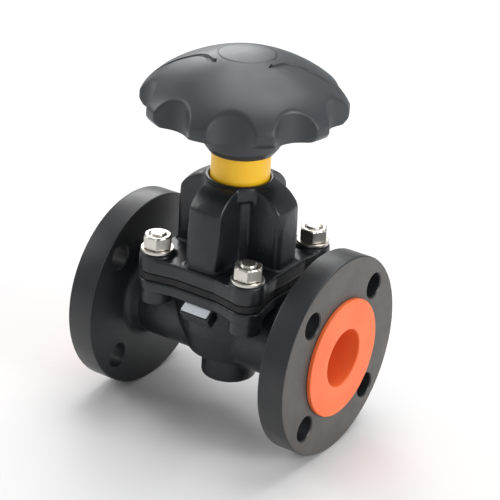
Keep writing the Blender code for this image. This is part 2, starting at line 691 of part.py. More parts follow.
def build_bonnet(parts, cutters, material):
    """The bonnet: an eared flange, a four-lobed tower with nut pockets, and its bores."""
    foot_z = BONNET_Z + BONNET_FLANGE_THICKNESS - OVERLAP
    lobes = extruded("lobes", rounded_rectangle(TOWER_REACH_X, LOBE_HALF_WIDTH, LOBE_CORNER),
                     foot_z - OVERLAP, BONNET_TOP_Z + OVERLAP, cutters)
    lobe_y = extruded("lobe_y", rounded_rectangle(LOBE_HALF_WIDTH, TOWER_REACH_Y, LOBE_CORNER),
                      foot_z - OVERLAP * 1.5, BONNET_TOP_Z + OVERLAP * 1.5, cutters)
    core = post("core", TOWER_CORE_RADIUS, foot_z - 2 * OVERLAP, BONNET_TOP_Z + 2 * OVERLAP, cutters)
    collar = post("collar", COLLAR_RADIUS + COLLAR_FLARE, BONNET_TOP_Z - 10 * MM,
                  BONNET_TOP_Z + 2.5 * OVERLAP, cutters, sides=ROUND)
    lobes = join(lobes, [lobe_y, core, collar])
    tower = turned("tower", tower_profile(), cutters)
    tower = combine(tower, lobes, "INTERSECT")
    bonnet = extruded("bonnet", ear_outline(), BONNET_Z, BONNET_Z + BONNET_FLANGE_THICKNESS, parts)
    ears = [post(f"ear_{i}", EAR_RADIUS - 0.3 * MM, BONNET_Z + OVERLAP, EAR_TOP_Z, cutters,
                 at=place, sides=MEDIUM) for i, place in enumerate(stud_places())]
    bonnet = join(bonnet, ears + [tower])

    bore = GUIDE_RADIUS + GUIDE_CLEARANCE
    bush = BUSH_RADIUS + GAP
    hollow = turned("bonnet_hollow", [
        (0.0, BONNET_TOP_Z + OVERLAP),
        (bush, BONNET_TOP_Z + OVERLAP),
        (bush, BUSH_Z - GAP),
        (bore, BUSH_Z - GAP - 2 * MM),
        (bore, CHAMBER_Z),
        (BOWL_RADIUS, CHAMBER_Z),
        (BOWL_RADIUS + CHAMBER_RELIEF, BONNET_Z + 1.5 * MM),
        (BOWL_RADIUS + CHAMBER_RELIEF, BONNET_Z - OVERLAP),
        (0.0, BONNET_Z - OVERLAP),
    ], cutters)
    inner = SLEEVE_RADIUS - SLEEVE_WALL - GAP
    groove = turned("sleeve_groove", [
        (inner, BONNET_TOP_Z + OVERLAP),
        (SLEEVE_RADIUS + GAP, BONNET_TOP_Z + OVERLAP),
        (SLEEVE_RADIUS + GAP, SLEEVE_Z - GAP),
        (inner, SLEEVE_Z - GAP),
    ], cutters)
    reach = 2 * (GUIDE_RADIUS + KEY_PROJECTION + KEY_CLEARANCE)
    key_top = BUSH_Z - KEYWAY_STOP
    keyway = box("keyway", (reach, KEY_WIDTH + 2 * GAP, key_top - CHAMBER_Z + OVERLAP),
                 (0.0, 0.0, (key_top + CHAMBER_Z - OVERLAP) / 2), cutters)
    bonnet = cut(bonnet, [hollow, groove, keyway])
    for i, place in enumerate(stud_places()):
        bonnet = cut(bonnet, [post(f"bonnet_hole_{i}", STUD_HOLE_RADIUS, BONNET_Z - OVERLAP,
                                   EAR_TOP_Z + OVERLAP, cutters, at=place, sides=SMALL)])
    bonnet.data.materials.clear()
    bonnet.data.materials.append(material)
    return smooth(bonnet)


def build_bonnet_fasteners(parts, cutters, material):
    """Four studs, washers and nuts."""
    top = NUT_TOP_Z + STUD_PROJECTION
    shoulder = top - STUD_CHAMFER
    for i, place in enumerate(stud_places(), start=1):
        stud = post(f"bonnet_stud_{i}", STUD_RADIUS, STUD_BOTTOM_Z, shoulder, parts, at=place,
                    sides=SMALL, material=material)
        tip = post("tip", STUD_RADIUS, shoulder - 0.01 * MM, top, cutters, at=place,
                   sides=SMALL, top_radius=STUD_RADIUS - STUD_CHAMFER)
        smooth(join(stud, [tip]))
        washer = post(f"bonnet_washer_{i}", WASHER_RADIUS, EAR_TOP_Z + GAP,
                      EAR_TOP_Z + GAP + WASHER_THICKNESS, parts, at=place, sides=MEDIUM, material=material)
        hole = post("washer_hole", STUD_HOLE_RADIUS, EAR_TOP_Z - OVERLAP, NUT_Z + OVERLAP, cutters,
                    at=place, sides=SMALL)
        smooth(cut(washer, [hole]))
        build_nut(f"bonnet_nut_{i}", NUT_ACROSS_FLATS, STUD_RADIUS + GAP, NUT_Z, NUT_HEIGHT, place,
                  parts, cutters, material)


def build_nut(name, across_flats, hole_radius, low, height, place, parts, cutters, material):
    """A hexagon nut with chamfered corners."""
    corner = across_flats / math.sqrt(3)
    nut = post(name, corner, low, low + height, parts, at=place, sides=6, turn=math.pi / 6)
    chamfer = corner * NUT_CHAMFER
    shape = turned("nut_chamfer", [
        (0.0, low + height + OVERLAP * 0.1),
        (corner - chamfer, low + height + OVERLAP * 0.1),
        (corner + OVERLAP * 0.3, low + height - chamfer * 0.6),
        (corner + OVERLAP * 0.3, low + chamfer * 0.3),
        (corner - chamfer * 0.5, low - OVERLAP * 0.1),
        (0.0, low - OVERLAP * 0.1),
    ], cutters, sides=SMALL)
    shape.data.transform(Matrix.Translation((place[0], place[1], 0.0)))
    nut = combine(nut, shape, "INTERSECT")
    nut = cut(nut, [post("nut_hole", hole_radius, low - OVERLAP, low + height + OVERLAP, cutters,
                         at=place, sides=SMALL)])
    nut.data.materials.clear()
    nut.data.materials.append(material)
    return smooth(nut, 25.0)


# --- Spindle ------------------------------------------------------------------------------

def build_spindle(parts, cutters, material):
    """The spindle: collar in the compressor, threaded shank, square drive and threaded tip."""
    thread_top = (NUT_POCKET_FLOOR_Z + GAP + WHEEL_WASHER_THICKNESS + GAP + WHEEL_NUT_HEIGHT
                  + SPINDLE_TIP_PROJECTION)
    spindle = turned("spindle", [
        (0.0, DRIVE_Z - GAP),
        (SPINDLE_RADIUS, DRIVE_Z - GAP),
        (SPINDLE_RADIUS, COLLAR_Z + COLLAR_THICKNESS),
        (SPINDLE_COLLAR_RADIUS, COLLAR_Z + COLLAR_THICKNESS),
        (SPINDLE_COLLAR_RADIUS, COLLAR_Z),
        (0.0, COLLAR_Z),
    ], parts, sides=SMALL + 8)
    half = DRIVE_ACROSS_FLATS / 2
    drive = box("drive", (2 * half, 2 * half, DRIVE_TOP_Z - DRIVE_Z + 2 * OVERLAP),
                (0.0, 0.0, (DRIVE_TOP_Z + DRIVE_Z) / 2 - OVERLAP), cutters)
    tip = post("spindle_tip", SPINDLE_TIP_RADIUS, DRIVE_TOP_Z - 2 * OVERLAP, thread_top, cutters,
               sides=SMALL)
    spindle = join(spindle, [drive, tip])
    spindle.data.materials.clear()
    spindle.data.materials.append(material)
    return smooth(spindle)


def ring(name, inner, outer, low, high, parts, material, sides=MEDIUM):
    """A plain turned ring."""
    return smooth(turned(name, [(inner, high), (outer, high), (outer, low), (inner, low)], parts,
                         sides=sides, material=material))


def build_spindle_seat(parts, steel, bronze):
    """The thrust washer under the spindle's collar and the retainer over it."""
    cup = SPINDLE_COLLAR_RADIUS
    ring("thrust_washer", 3.0 * MM, cup, CUP_FLOOR_Z + GAP,
         CUP_FLOOR_Z + GAP + THRUST_WASHER_THICKNESS, parts, bronze)
    ring("collar_retainer", SPINDLE_RADIUS + GAP, cup, RETAINER_Z, RETAINER_Z + RETAINER_THICKNESS,
         parts, steel)


def build_bush(parts, bronze, rubber):
    """The bush that the spindle screws through, with its seal."""
    inner = SPINDLE_RADIUS + GAP
    cord = O_RING_CORD
    groove_top = BONNET_TOP_Z - O_RING_DEPTH
    groove_low = groove_top - cord - O_RING_PLAY
    smooth(turned("spindle_bush", [
        (inner, BUSH_TOP_Z),
        (BUSH_FLANGE_RADIUS - BUSH_EDGE, BUSH_TOP_Z),
        (BUSH_FLANGE_RADIUS, BUSH_TOP_Z - BUSH_EDGE),
        (BUSH_FLANGE_RADIUS, BONNET_TOP_Z + GAP),
        (BUSH_RADIUS, BONNET_TOP_Z + GAP),
        (BUSH_RADIUS, BUSH_Z),
        (inner, BUSH_Z),
        (inner, groove_low),
        (inner + cord, groove_low),
        (inner + cord, groove_top),
        (inner, groove_top),
    ], parts, sides=MEDIUM, material=bronze))
    middle = (groove_top + groove_low) / 2
    radius = inner + cord / 2 + 0.1 * MM
    minor = cord / 2 - 0.2 * MM
    section = [(radius + minor * math.cos(a), middle + minor * math.sin(a))
               for a in (-2 * math.pi * i / 10 for i in range(10))]
    smooth(turned("spindle_o_ring", section, parts, sides=MEDIUM, material=rubber))


def build_indicator(parts, material):
    """The coloured sleeve that shows below the handwheel while the valve is open."""
    inner = SLEEVE_RADIUS - SLEEVE_WALL
    return smooth(turned("indicator_sleeve", [
        (inner, SLEEVE_TOP_Z),
        (SLEEVE_RADIUS - SLEEVE_EDGE, SLEEVE_TOP_Z),
        (SLEEVE_RADIUS, SLEEVE_TOP_Z - SLEEVE_EDGE),
        (SLEEVE_RADIUS, SLEEVE_Z),
        (inner, SLEEVE_Z),
    ], parts, material=material))


# --- Handwheel ----------------------------------------------------------------------------

def dome_height(radius):
    """Height of the handwheel's outer surface at a radius."""
    share = min(radius / WHEEL_RADIUS, 1.0)
    return RIM_TOP_Z + DOME_RISE * (1 - share ** 1.68) ** (1 / 1.47)


CAP_SEAT_Z = dome_height(CAP_RADIUS) - CAP_SEAT
NUT_POCKET_FLOOR_Z = DRIVE_TOP_Z + GAP


def build_handwheel(parts, cutters, material):
    """The domed handwheel: skirted hub, thin dome and a scalloped grip rim, hollow below."""
    outer = [WHEEL_RADIUS * f for f in (0.42, 0.58, 0.72, 0.84, 0.93, 0.98, 1.0)]
    inside = WHEEL_RADIUS - SCALLOP_DEPTH - GRIP_WALL
    lean_in = RIM_DEPTH * math.tan(math.radians(SCALLOP_LEAN))
    under = [WHEEL_RADIUS * f for f in (0.7, 0.6, 0.5)]
    cavity = SKIRT_INNER_RADIUS
    bore = SPINDLE_RADIUS * 1.05
    web = HUB_RADIUS + 3 * MM
    profile = [(bore, CAP_SEAT_Z), (CAP_RADIUS + GAP, CAP_SEAT_Z),
               (CAP_RADIUS + GAP, dome_height(CAP_RADIUS + GAP))]
    profile += [(r, dome_height(r)) for r in outer]
    profile += [(WHEEL_RADIUS, RIM_Z + RIM_DEPTH * 0.45),
                (WHEEL_RADIUS - 0.8 * MM, RIM_Z + RIM_DEPTH * 0.12),
                (WHEEL_RADIUS - 2.4 * MM, RIM_Z),
                (inside + 1.0 * MM, RIM_Z),
                (inside, RIM_Z + 2 * MM),
                (inside - lean_in, RIM_Z + RIM_DEPTH)]
    profile += [(r, dome_height(r) - WHEEL_WALL) for r in under]
    profile += [(web, dome_height(web) - WHEEL_WALL), (HUB_RADIUS, dome_height(web) - WHEEL_WALL - 3 * MM),
                (HUB_RADIUS, HUB_Z + 4 * MM), (SKIRT_INNER_RADIUS + HUB_WALL, HUB_Z),
                (cavity, HUB_Z), (cavity, HUB_CAVITY_Z), (bore, HUB_CAVITY_Z)]
    wheel = turned("handwheel", profile, parts, sides=FINE)
    plug = post("drive_plug", bore + 2 * MM, HUB_CAVITY_Z, NUT_POCKET_FLOOR_Z, cutters, sides=MEDIUM)
    wheel = join(wheel, [plug])
    half = DRIVE_ACROSS_FLATS / 2 + DRIVE_CLEARANCE
    socket = box("socket", (2 * half, 2 * half, 2 * DRIVE_LENGTH),
                 (0.0, 0.0, (HUB_CAVITY_Z + NUT_POCKET_FLOOR_Z) / 2), cutters)
    pocket = post("nut_pocket", WHEEL_NUT_POCKET, NUT_POCKET_FLOOR_Z, CAP_SEAT_Z + OVERLAP, cutters,
                  sides=MEDIUM)
    wheel = cut(wheel, [socket, pocket])
    centre = WHEEL_RADIUS + SCALLOP_RADIUS - SCALLOP_DEPTH
    length = RIM_DEPTH * 5
    for i in range(GRIP_LOBES):
        turn = Matrix.Rotation(math.radians(SCALLOP_PHASE) + 2 * math.pi * i / GRIP_LOBES, 4, "Z")
        lean = Matrix.Rotation(math.radians(-SCALLOP_LEAN), 4, "Y")
        middle = Matrix.Translation((centre, 0.0, RIM_Z + RIM_DEPTH * 0.5))
        bm = bmesh.new()
        bmesh.ops.create_cone(bm, cap_ends=True, segments=MEDIUM, radius1=SCALLOP_RADIUS,
                              radius2=SCALLOP_RADIUS, depth=length, matrix=turn @ middle @ lean)
        wheel = cut(wheel, [from_bmesh(f"scallop_{i}", bm, cutters)])
    wheel.data.materials.clear()
    wheel.data.materials.append(material)
    return smooth(wheel, 40.0)


def build_wheel_fasteners(parts, cutters, steel, plastic):
    """The washer and nut that hold the handwheel on its square, and the cap over them."""
    low = NUT_POCKET_FLOOR_Z + GAP
    ring("handwheel_washer", SPINDLE_TIP_RADIUS + GAP, WHEEL_WASHER_RADIUS, low,
         low + WHEEL_WASHER_THICKNESS, parts, steel)
    nut_low = low + WHEEL_WASHER_THICKNESS + GAP
    build_nut("handwheel_nut", WHEEL_NUT_ACROSS_FLATS, SPINDLE_TIP_RADIUS + GAP, nut_low,
              WHEEL_NUT_HEIGHT, (0.0, 0.0), parts, cutters, steel)
    low = CAP_SEAT_Z + GAP
    edge = dome_height(CAP_RADIUS)
    top = edge + 0.5 * MM
    smooth(turned("handwheel_cap", [
        (0.0, top + 1.2 * MM),
        (CAP_RADIUS * 0.45, top + 0.95 * MM),
        (CAP_RADIUS * 0.8, top + 0.3 * MM),
        (CAP_RADIUS - 0.6 * MM, top - 0.3 * MM),
        (CAP_RADIUS, top - 0.9 * MM),
        (CAP_RADIUS, low),
        (0.0, low),
    ], parts, material=plastic))


def main():
    for made in list(bpy.data.objects):
        bpy.data.objects.remove(made)
    parts = new_collection("diaphragm_valve")
    cutters = new_collection("cutters", hidden=True)
    black = finish("black_coating", (0.035, 0.037, 0.04), 0.4)
    orange = finish("orange_lining", (0.9, 0.22, 0.08), 0.45)
    rubber = finish("black_rubber", (0.02, 0.02, 0.02), 0.7)
    steel = finish("stainless_steel", (0.62, 0.6, 0.57), 0.3, 1.0)
    bronze = finish("bronze", (0.6, 0.4, 0.2), 0.35, 1.0)
    grey_iron = finish("grey_iron", (0.25, 0.25, 0.26), 0.6, 1.0)
    yellow = finish("yellow_plastic", (0.95, 0.55, 0.05), 0.4)
    plastic = finish("black_plastic", (0.03, 0.033, 0.038), 0.45)
    white = finish("white_plate", (0.85, 0.87, 0.88), 0.4)

    build_body(parts, cutters, black)
    build_lining(parts, cutters, orange)
    for side, sign in (("inlet", -1), ("outlet", 1)):
        build_line_flange(f"{side}_flange", sign, parts, cutters, black)
        build_mouth(f"{side}_lining", sign, parts, cutters, orange)
    build_data_plate(parts, white)
    build_diaphragm(parts, cutters, rubber)
    build_diaphragm_stud(parts, steel)
    build_compressor(parts, cutters, grey_iron)
    build_spindle_seat(parts, steel, bronze)
    build_bonnet(parts, cutters, black)
    build_bonnet_fasteners(parts, cutters, steel)
    build_bush(parts, bronze, rubber)
    build_indicator(parts, yellow)
    build_spindle(parts, cutters, steel)
    build_handwheel(parts, cutters, plastic)
    build_wheel_fasteners(parts, cutters, steel, plastic)


main()
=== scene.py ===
"""The visible model of a flanged weir-type diaphragm valve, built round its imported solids.

Each sub-assembly is a class that holds its sizes, builds its meshes and dresses them. Lengths
are in metres. The pipe runs along X and the spindle stands on Z.
"""

import logging
import math
from collections.abc import Callable
from dataclasses import dataclass, field
from enum import Enum

import bmesh
import bpy
from mathutils import Matrix, Vector


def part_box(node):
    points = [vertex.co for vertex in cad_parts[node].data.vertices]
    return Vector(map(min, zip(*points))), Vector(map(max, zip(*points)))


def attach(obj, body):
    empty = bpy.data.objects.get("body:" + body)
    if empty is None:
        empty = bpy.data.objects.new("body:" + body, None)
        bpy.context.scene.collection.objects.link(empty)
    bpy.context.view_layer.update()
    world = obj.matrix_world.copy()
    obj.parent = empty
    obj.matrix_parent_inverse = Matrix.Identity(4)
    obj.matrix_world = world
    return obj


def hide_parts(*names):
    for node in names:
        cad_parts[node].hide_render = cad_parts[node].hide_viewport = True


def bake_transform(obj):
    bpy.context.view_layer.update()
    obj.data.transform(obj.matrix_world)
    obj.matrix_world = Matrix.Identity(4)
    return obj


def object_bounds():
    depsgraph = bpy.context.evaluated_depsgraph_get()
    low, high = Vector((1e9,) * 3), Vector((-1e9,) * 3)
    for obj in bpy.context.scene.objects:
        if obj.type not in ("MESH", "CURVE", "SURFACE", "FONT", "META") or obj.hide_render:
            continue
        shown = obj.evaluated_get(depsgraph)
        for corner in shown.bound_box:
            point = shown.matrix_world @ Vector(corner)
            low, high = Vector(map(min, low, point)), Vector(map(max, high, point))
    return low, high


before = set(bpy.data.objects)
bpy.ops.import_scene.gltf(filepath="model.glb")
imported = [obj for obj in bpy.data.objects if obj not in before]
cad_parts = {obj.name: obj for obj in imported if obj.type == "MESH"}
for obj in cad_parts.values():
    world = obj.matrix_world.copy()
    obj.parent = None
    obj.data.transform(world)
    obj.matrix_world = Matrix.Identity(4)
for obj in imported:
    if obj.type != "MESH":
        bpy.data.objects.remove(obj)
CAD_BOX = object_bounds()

log = logging.getLogger("diaphragm_valve")
logging.basicConfig(level=logging.INFO, format="%(message)s")

MM = 0.001
FULL_TURN = 2 * math.pi
FLANGE_RADIUS = 0.0635
PIPE_HEIGHT = CAD_BOX[0][2] + FLANGE_RADIUS

# Points closer together than these are joined, in a plain shape and after a cut.
MERGE = 0.001 * MM
CUT_MERGE = 0.002 * MM

# A corner is two coordinates and a rounding radius.
Corner = tuple[float, float, float]
Point = tuple[float, float, float]
Shape = bmesh.types.BMesh
Nodes = bpy.types.Nodes
Links = bpy.types.NodeLinks
Socket = bpy.types.NodeSocket


class Body(Enum):
    """The rigid bodies that pieces ride on."""

    VALVE = "valve"
    COMPRESSOR = "compressor"
    WHEEL = "wheel"


class Slot(Enum):
    """The record's material slots."""

    BLACK_COATING = "black_coating"
    ORANGE_LINING = "orange_lining"
    WHITE_PLATE = "white_plate"
    BLACK_RUBBER = "black_rubber"
    STEEL = "steel"
    BRONZE = "bronze"
    GREY_IRON = "grey_iron"
    YELLOW_PLASTIC = "yellow_plastic"
    BLACK_PLASTIC = "black_plastic"


class TurnAxis(Enum):
    """The axis that turned marks run round."""

    PIPE = "X"
    SPINDLE = "Z"


# --- Finishes -----------------------------------------------------------------------------

# Where the noise turns from one colour to the other, and from smooth to rough.
PATCH_EDGES = (0.35, 0.65)
SMEAR_EDGES = (0.3, 0.7)
SMEARS_PER_PATCH = 2.7


@dataclass(frozen=True)
class Finish:
    """A surface with a mottled colour, a varying roughness and a fine bump.

    Attributes:
        name: The material's name.
        colour: The linear base colour.
        tint: The linear colour that patches lean towards.
        roughness: The lowest and highest roughness.
        metallic: Zero for a paint or plastic and one for bare metal.
        patch_scale: How many colour patches fit in a metre.
        grain_scale: How many grains of the fine bump fit in a metre.
        grain_depth: The depth of the fine bump.
        swell_scale: How many waves of the coarse bump fit in a metre.
        swell_depth: The depth of the coarse bump.
        ring_depth: The depth of turned marks, or zero for none.
        ring_pitch: The pitch of turned marks.
        centre: A point on the axis of the turned marks.
        ring_axis: The axis of the turned marks.
    """

    name: str
    colour: tuple[float, float, float]
    tint: tuple[float, float, float]
    roughness: tuple[float, float]
    metallic: float = 0.0
    patch_scale: float = 40.0
    grain_scale: float = 1500.0
    grain_depth: float = 0.02 * MM
    swell_scale: float = 160.0
    swell_depth: float = 0.0
    ring_depth: float = 0.0
    ring_pitch: float = 0.6 * MM
    centre: Point = (0.0, 0.0, 0.0)
    ring_axis: TurnAxis = TurnAxis.SPINDLE

    def material(self) -> bpy.types.Material:
        """Make the material.

        Returns:
            A node material that reads Object coordinates only.
        """
        made = bpy.data.materials.new(self.name)
        made.use_nodes = True
        nodes = made.node_tree.nodes
        links = made.node_tree.links
        shader = nodes["Principled BSDF"]
        shader.inputs["Metallic"].default_value = self.metallic
        place = nodes.new("ShaderNodeTexCoord")
        mapping = nodes.new("ShaderNodeMapping")
        mapping.inputs["Location"].default_value = [-value for value in self.centre]
        links.new(place.outputs["Object"], mapping.inputs["Vector"])
        point = mapping.outputs["Vector"]

        patches = self._noise(nodes, links, point, self.patch_scale, 5.0)
        blend = nodes.new("ShaderNodeMix")
        blend.data_type = "RGBA"
        blend.inputs["A"].default_value = (*self.colour, 1.0)
        blend.inputs["B"].default_value = (*self.tint, 1.0)
        share = self._range(nodes, links, patches, PATCH_EDGES, (0.0, 1.0))
        links.new(share, blend.inputs["Factor"])
        links.new(blend.outputs["Result"], shader.inputs["Base Color"])

        smears = self._noise(nodes, links, point, self.patch_scale * SMEARS_PER_PATCH, 4.0)
        rough = self._range(nodes, links, smears, SMEAR_EDGES, self.roughness)
        links.new(rough, shader.inputs["Roughness"])

        grain = self._noise(nodes, links, point, self.grain_scale, 2.0)
        normal = self._bump(nodes, links, grain, self.grain_depth, None)
        if self.swell_depth > 0:
            swell = self._noise(nodes, links, point, self.swell_scale, 2.0)
            normal = self._bump(nodes, links, swell, self.swell_depth, normal)
        if self.ring_depth > 0:
            rings = self._rings(nodes, links, point)
            normal = self._bump(nodes, links, rings, self.ring_depth, normal)
        links.new(normal, shader.inputs["Normal"])
        return made

    def _noise(self, nodes: Nodes, links: Links, point: Socket, scale: float,
               detail: float) -> Socket:
        """A noise texture's value.

        Args:
            nodes: The material's nodes.
            links: The material's links.
            point: The socket with the coordinates.
            scale: How many features fit in a metre.
            detail: The number of finer layers.

        Returns:
            The socket with the value.
        """
        noise = nodes.new("ShaderNodeTexNoise")
        noise.inputs["Scale"].default_value = scale
        noise.inputs["Detail"].default_value = detail
        links.new(point, noise.inputs["Vector"])
        return noise.outputs["Fac"]

    def _rings(self, nodes: Nodes, links: Links, point: Socket) -> Socket:
        """Turned marks round the finish's axis.

        Args:
            nodes: The material's nodes.
            links: The material's links.
            point: The socket with the coordinates.

        Returns:
            The socket with the value.
        """
        wave = nodes.new("ShaderNodeTexWave")
        wave.wave_type = "RINGS"
        wave.rings_direction = self.ring_axis.value
        wave.inputs["Scale"].default_value = 0.1 * math.pi / self.ring_pitch
        wave.inputs["Distortion"].default_value = 0.4
        wave.inputs["Detail Scale"].default_value = 3.0
        links.new(point, wave.inputs["Vector"])
        return wave.outputs["Fac"]

    def _range(self, nodes: Nodes, links: Links, value: Socket, given: tuple[float, float],
               wanted: tuple[float, float]) -> Socket:
        """Map a value from one range to another.

        Args:
            nodes: The material's nodes.
            links: The material's links.
            value: The socket with the value.
            given: The ends of the first range.
            wanted: The results at those ends.

        Returns:
            The socket with the result.
        """
        scaled = nodes.new("ShaderNodeMapRange")
        scaled.inputs["From Min"].default_value = given[0]
        scaled.inputs["From Max"].default_value = given[1]
        scaled.inputs["To Min"].default_value = wanted[0]
        scaled.inputs["To Max"].default_value = wanted[1]
        links.new(value, scaled.inputs["Value"])
        return scaled.outputs["Result"]

    def _bump(self, nodes: Nodes, links: Links, height: Socket, depth: float,
              before: Socket | None) -> Socket:
        """Add a bump to a normal.

        Args:
            nodes: The material's nodes.
            links: The material's links.
            height: The socket with the height.
            depth: The bump's depth.
            before: The socket with the normal so far, or None.

        Returns:
            The socket with the new normal.
        """
        bump = nodes.new("ShaderNodeBump")
        bump.inputs["Strength"].default_value = 1.0
        bump.inputs["Distance"].default_value = depth
        links.new(height, bump.inputs["Height"])
        if before is not None:
            links.new(before, bump.inputs["Normal"])
        return bump.outputs["Normal"]


def turned_steel(name: str, centre: Point) -> Finish:
    """Machined stainless steel with turned marks round an upright axis.

    Args:
        name: The material's name.
        centre: A point on the axis.

    Returns:
        The finish.
    """
    return Finish(name, (0.62, 0.59, 0.55), (0.7, 0.67, 0.62), (0.3, 0.42), metallic=1.0,
                  patch_scale=120.0, grain_scale=2000.0, grain_depth=0.004 * MM,
                  ring_depth=0.004 * MM, ring_pitch=0.6 * MM, centre=centre)


CAST_COATING = Finish("cast_black_coating", (0.009, 0.011, 0.014), (0.014, 0.016, 0.019),
                      (0.26, 0.4), patch_scale=26.0, grain_scale=900.0, grain_depth=0.04 * MM,
                      swell_scale=230.0, swell_depth=0.14 * MM)
TURNED_COATING = Finish("turned_black_coating", (0.014, 0.016, 0.019), (0.021, 0.022, 0.024),
                        (0.32, 0.46), patch_scale=22.0, grain_scale=1100.0, grain_depth=0.03 * MM,
                        swell_scale=120.0, swell_depth=0.05 * MM)
# Painted light: the machined flange faces and their turned rings are real, but their pale grey is
# painted light, a lit copy of the black coating standing in for the light on the outlet face.
FACED_COATING_PAINTED_LIGHT = Finish("faced_coating_painted_light", (0.085, 0.08, 0.074), (0.068, 0.065, 0.061),
                       (0.42, 0.58), patch_scale=30.0, grain_scale=1300.0, grain_depth=0.03 * MM,
                       swell_scale=140.0, swell_depth=0.04 * MM, ring_depth=0.01 * MM,
                       ring_pitch=0.8 * MM, centre=(0.0, 0.0, PIPE_HEIGHT), ring_axis=TurnAxis.PIPE)
MOULDED_BLACK = Finish("moulded_black_plastic", (0.03, 0.036, 0.043), (0.037, 0.042, 0.048),
                       (0.34, 0.46), patch_scale=18.0, grain_scale=1300.0, grain_depth=0.03 * MM,
                       swell_scale=90.0, swell_depth=0.05 * MM)
MOULDED_ORANGE = Finish("moulded_orange_lining", (0.92, 0.175, 0.045), (0.9, 0.145, 0.035),
                        (0.38, 0.5), patch_scale=30.0, grain_scale=1000.0, grain_depth=0.03 * MM,
                        swell_scale=120.0, swell_depth=0.04 * MM, ring_depth=0.01 * MM,
                        ring_pitch=0.9 * MM, centre=(0.0, 0.0, PIPE_HEIGHT),
                        ring_axis=TurnAxis.PIPE)
MOULDED_YELLOW = Finish("moulded_yellow_plastic", (0.97, 0.56, 0.012), (0.93, 0.49, 0.01),
                        (0.28, 0.4), patch_scale=45.0, grain_scale=1200.0, grain_depth=0.015 * MM,
                        swell_scale=200.0, swell_depth=0.03 * MM)
MOULDED_RUBBER = Finish("moulded_black_rubber", (0.006, 0.006, 0.006), (0.01, 0.01, 0.01),
                        (0.6, 0.8), patch_scale=60.0, grain_scale=1500.0, grain_depth=0.05 * MM)
PAINTED_WHITE = Finish("painted_white_plate", (0.78, 0.83, 0.88), (0.72, 0.77, 0.82), (0.25, 0.4),
                       patch_scale=90.0, grain_scale=1800.0, grain_depth=0.01 * MM)
TURNED_BRONZE = Finish("turned_bronze", (0.55, 0.34, 0.15), (0.45, 0.27, 0.12), (0.28, 0.42),
                       metallic=1.0, patch_scale=80.0, grain_scale=2200.0, grain_depth=0.015 * MM,
                       ring_depth=0.01 * MM)
BARE_IRON = Finish("bare_grey_iron", (0.2, 0.2, 0.21), (0.26, 0.25, 0.25), (0.45, 0.62),
                   metallic=1.0, patch_scale=60.0, grain_scale=1200.0, grain_depth=0.05 * MM)


# --- Shapes -------------------------------------------------------------------------------

CORNER_SHARE = 0.48  # the most of a side that one round corner may take


def rounded(corners: list[Corner], closed: bool = True, segments: int = 5) -> list[Vector]:
    """Round the corners of an outline.

    Args:
        corners: The outline's corners, each two coordinates and a rounding radius.
        closed: Whether the last corner joins the first.
        segments: The pieces in each round corner.

    Returns:
        The outline's points.
    """
    points = []
    for i, (across, along, radius) in enumerate(corners):
        here = Vector((across, along))
        if radius <= 0 or (not closed and i in (0, len(corners) - 1)):
            points.append(here)
            continue
        back = Vector(corners[i - 1][:2]) - here
        ahead = Vector(corners[(i + 1) % len(corners)][:2]) - here
        longest = CORNER_SHARE * min(back.length, ahead.length)
        reach = min(radius / math.tan(back.angle(ahead) / 2), longest)
        start = here + back.normalized() * reach
        end = here + ahead.normalized() * reach
        for k in range(segments + 1):
            t = k / segments
            points.append((1 - t) ** 2 * start + 2 * t * (1 - t) * here + t * t * end)
    return points


def lathe(points: list[Vector], steps: int, closed: bool = True) -> Shape:
    """Turn a profile about the Z axis.

    Args:
        points: The profile's points, each a radius and a height.
        steps: The number of steps round.
        closed: Whether the last point joins the first.

    Returns:
        The turned shape, with its faces pointing out.
    """
    bm = bmesh.new()
    verts = [bm.verts.new((point.x, 0.0, point.y)) for point in points]
    edges = [bm.edges.new(pair) for pair in zip(verts, verts[1:])]
    if closed:
        edges.append(bm.edges.new((verts[-1], verts[0])))
    bmesh.ops.spin(bm, geom=verts + edges, cent=(0, 0, 0), axis=(0, 0, 1), dvec=(0, 0, 0),
                   angle=FULL_TURN, steps=steps, use_merge=True, use_duplicate=False)
    bmesh.ops.remove_doubles(bm, verts=bm.verts, dist=MERGE)
    bmesh.ops.recalc_face_normals(bm, faces=bm.faces)
    return bm


def soft_least(first: float, second: float, softness: float) -> float:
    """The smaller of two values, rounded off where they meet.

    Args:
        first: One value.
        second: The other value.
        softness: How far apart they are where the rounding begins.

    Returns:
        The rounded smaller value.
    """
    share = max(softness - abs(first - second), 0.0) / softness
    return min(first, second) - share * share * softness / 4


def hold_in(bm: Shape, limit: Callable[[float, float], float], softness: float) -> None:
    """Pull points in to a limiting radius that varies round and along the Z axis.

    Args:
        bm: The shape to change.
        limit: Gives the limiting radius at an angle and a height.
        softness: The rounding where the limit begins.
    """
    for vert in bm.verts:
        radius = math.hypot(vert.co.x, vert.co.y)
        if radius < softness:
            continue
        angle = math.atan2(vert.co.y, vert.co.x)
        held = soft_least(radius, limit(angle, vert.co.z), softness)
        if held < radius:
            vert.co.x *= held / radius
            vert.co.y *= held / radius


def as_object(name: str, bm: Shape) -> bpy.types.Object:
    """Make an object of a shape.

    Args:
        name: The object's name.
        bm: The shape, which is freed.

    Returns:
        The object, at the origin.
    """
    mesh = bpy.data.meshes.new(name)
    bm.to_mesh(mesh)
    bm.free()
    made = bpy.data.objects.new(name, mesh)
    bpy.context.scene.collection.objects.link(made)
    return made


def settled(source: bpy.types.Object) -> Shape:
    """The shape of an object once its modifiers are applied; the object is removed.

    Args:
        source: The object.

    Returns:
        The shape.
    """
    bpy.context.view_layer.update()
    graph = bpy.context.evaluated_depsgraph_get()
    mesh = bpy.data.meshes.new_from_object(source.evaluated_get(graph))
    bm = bmesh.new()
    bm.from_mesh(mesh)
    bpy.data.meshes.remove(mesh)
    bpy.data.objects.remove(source)
    return bm


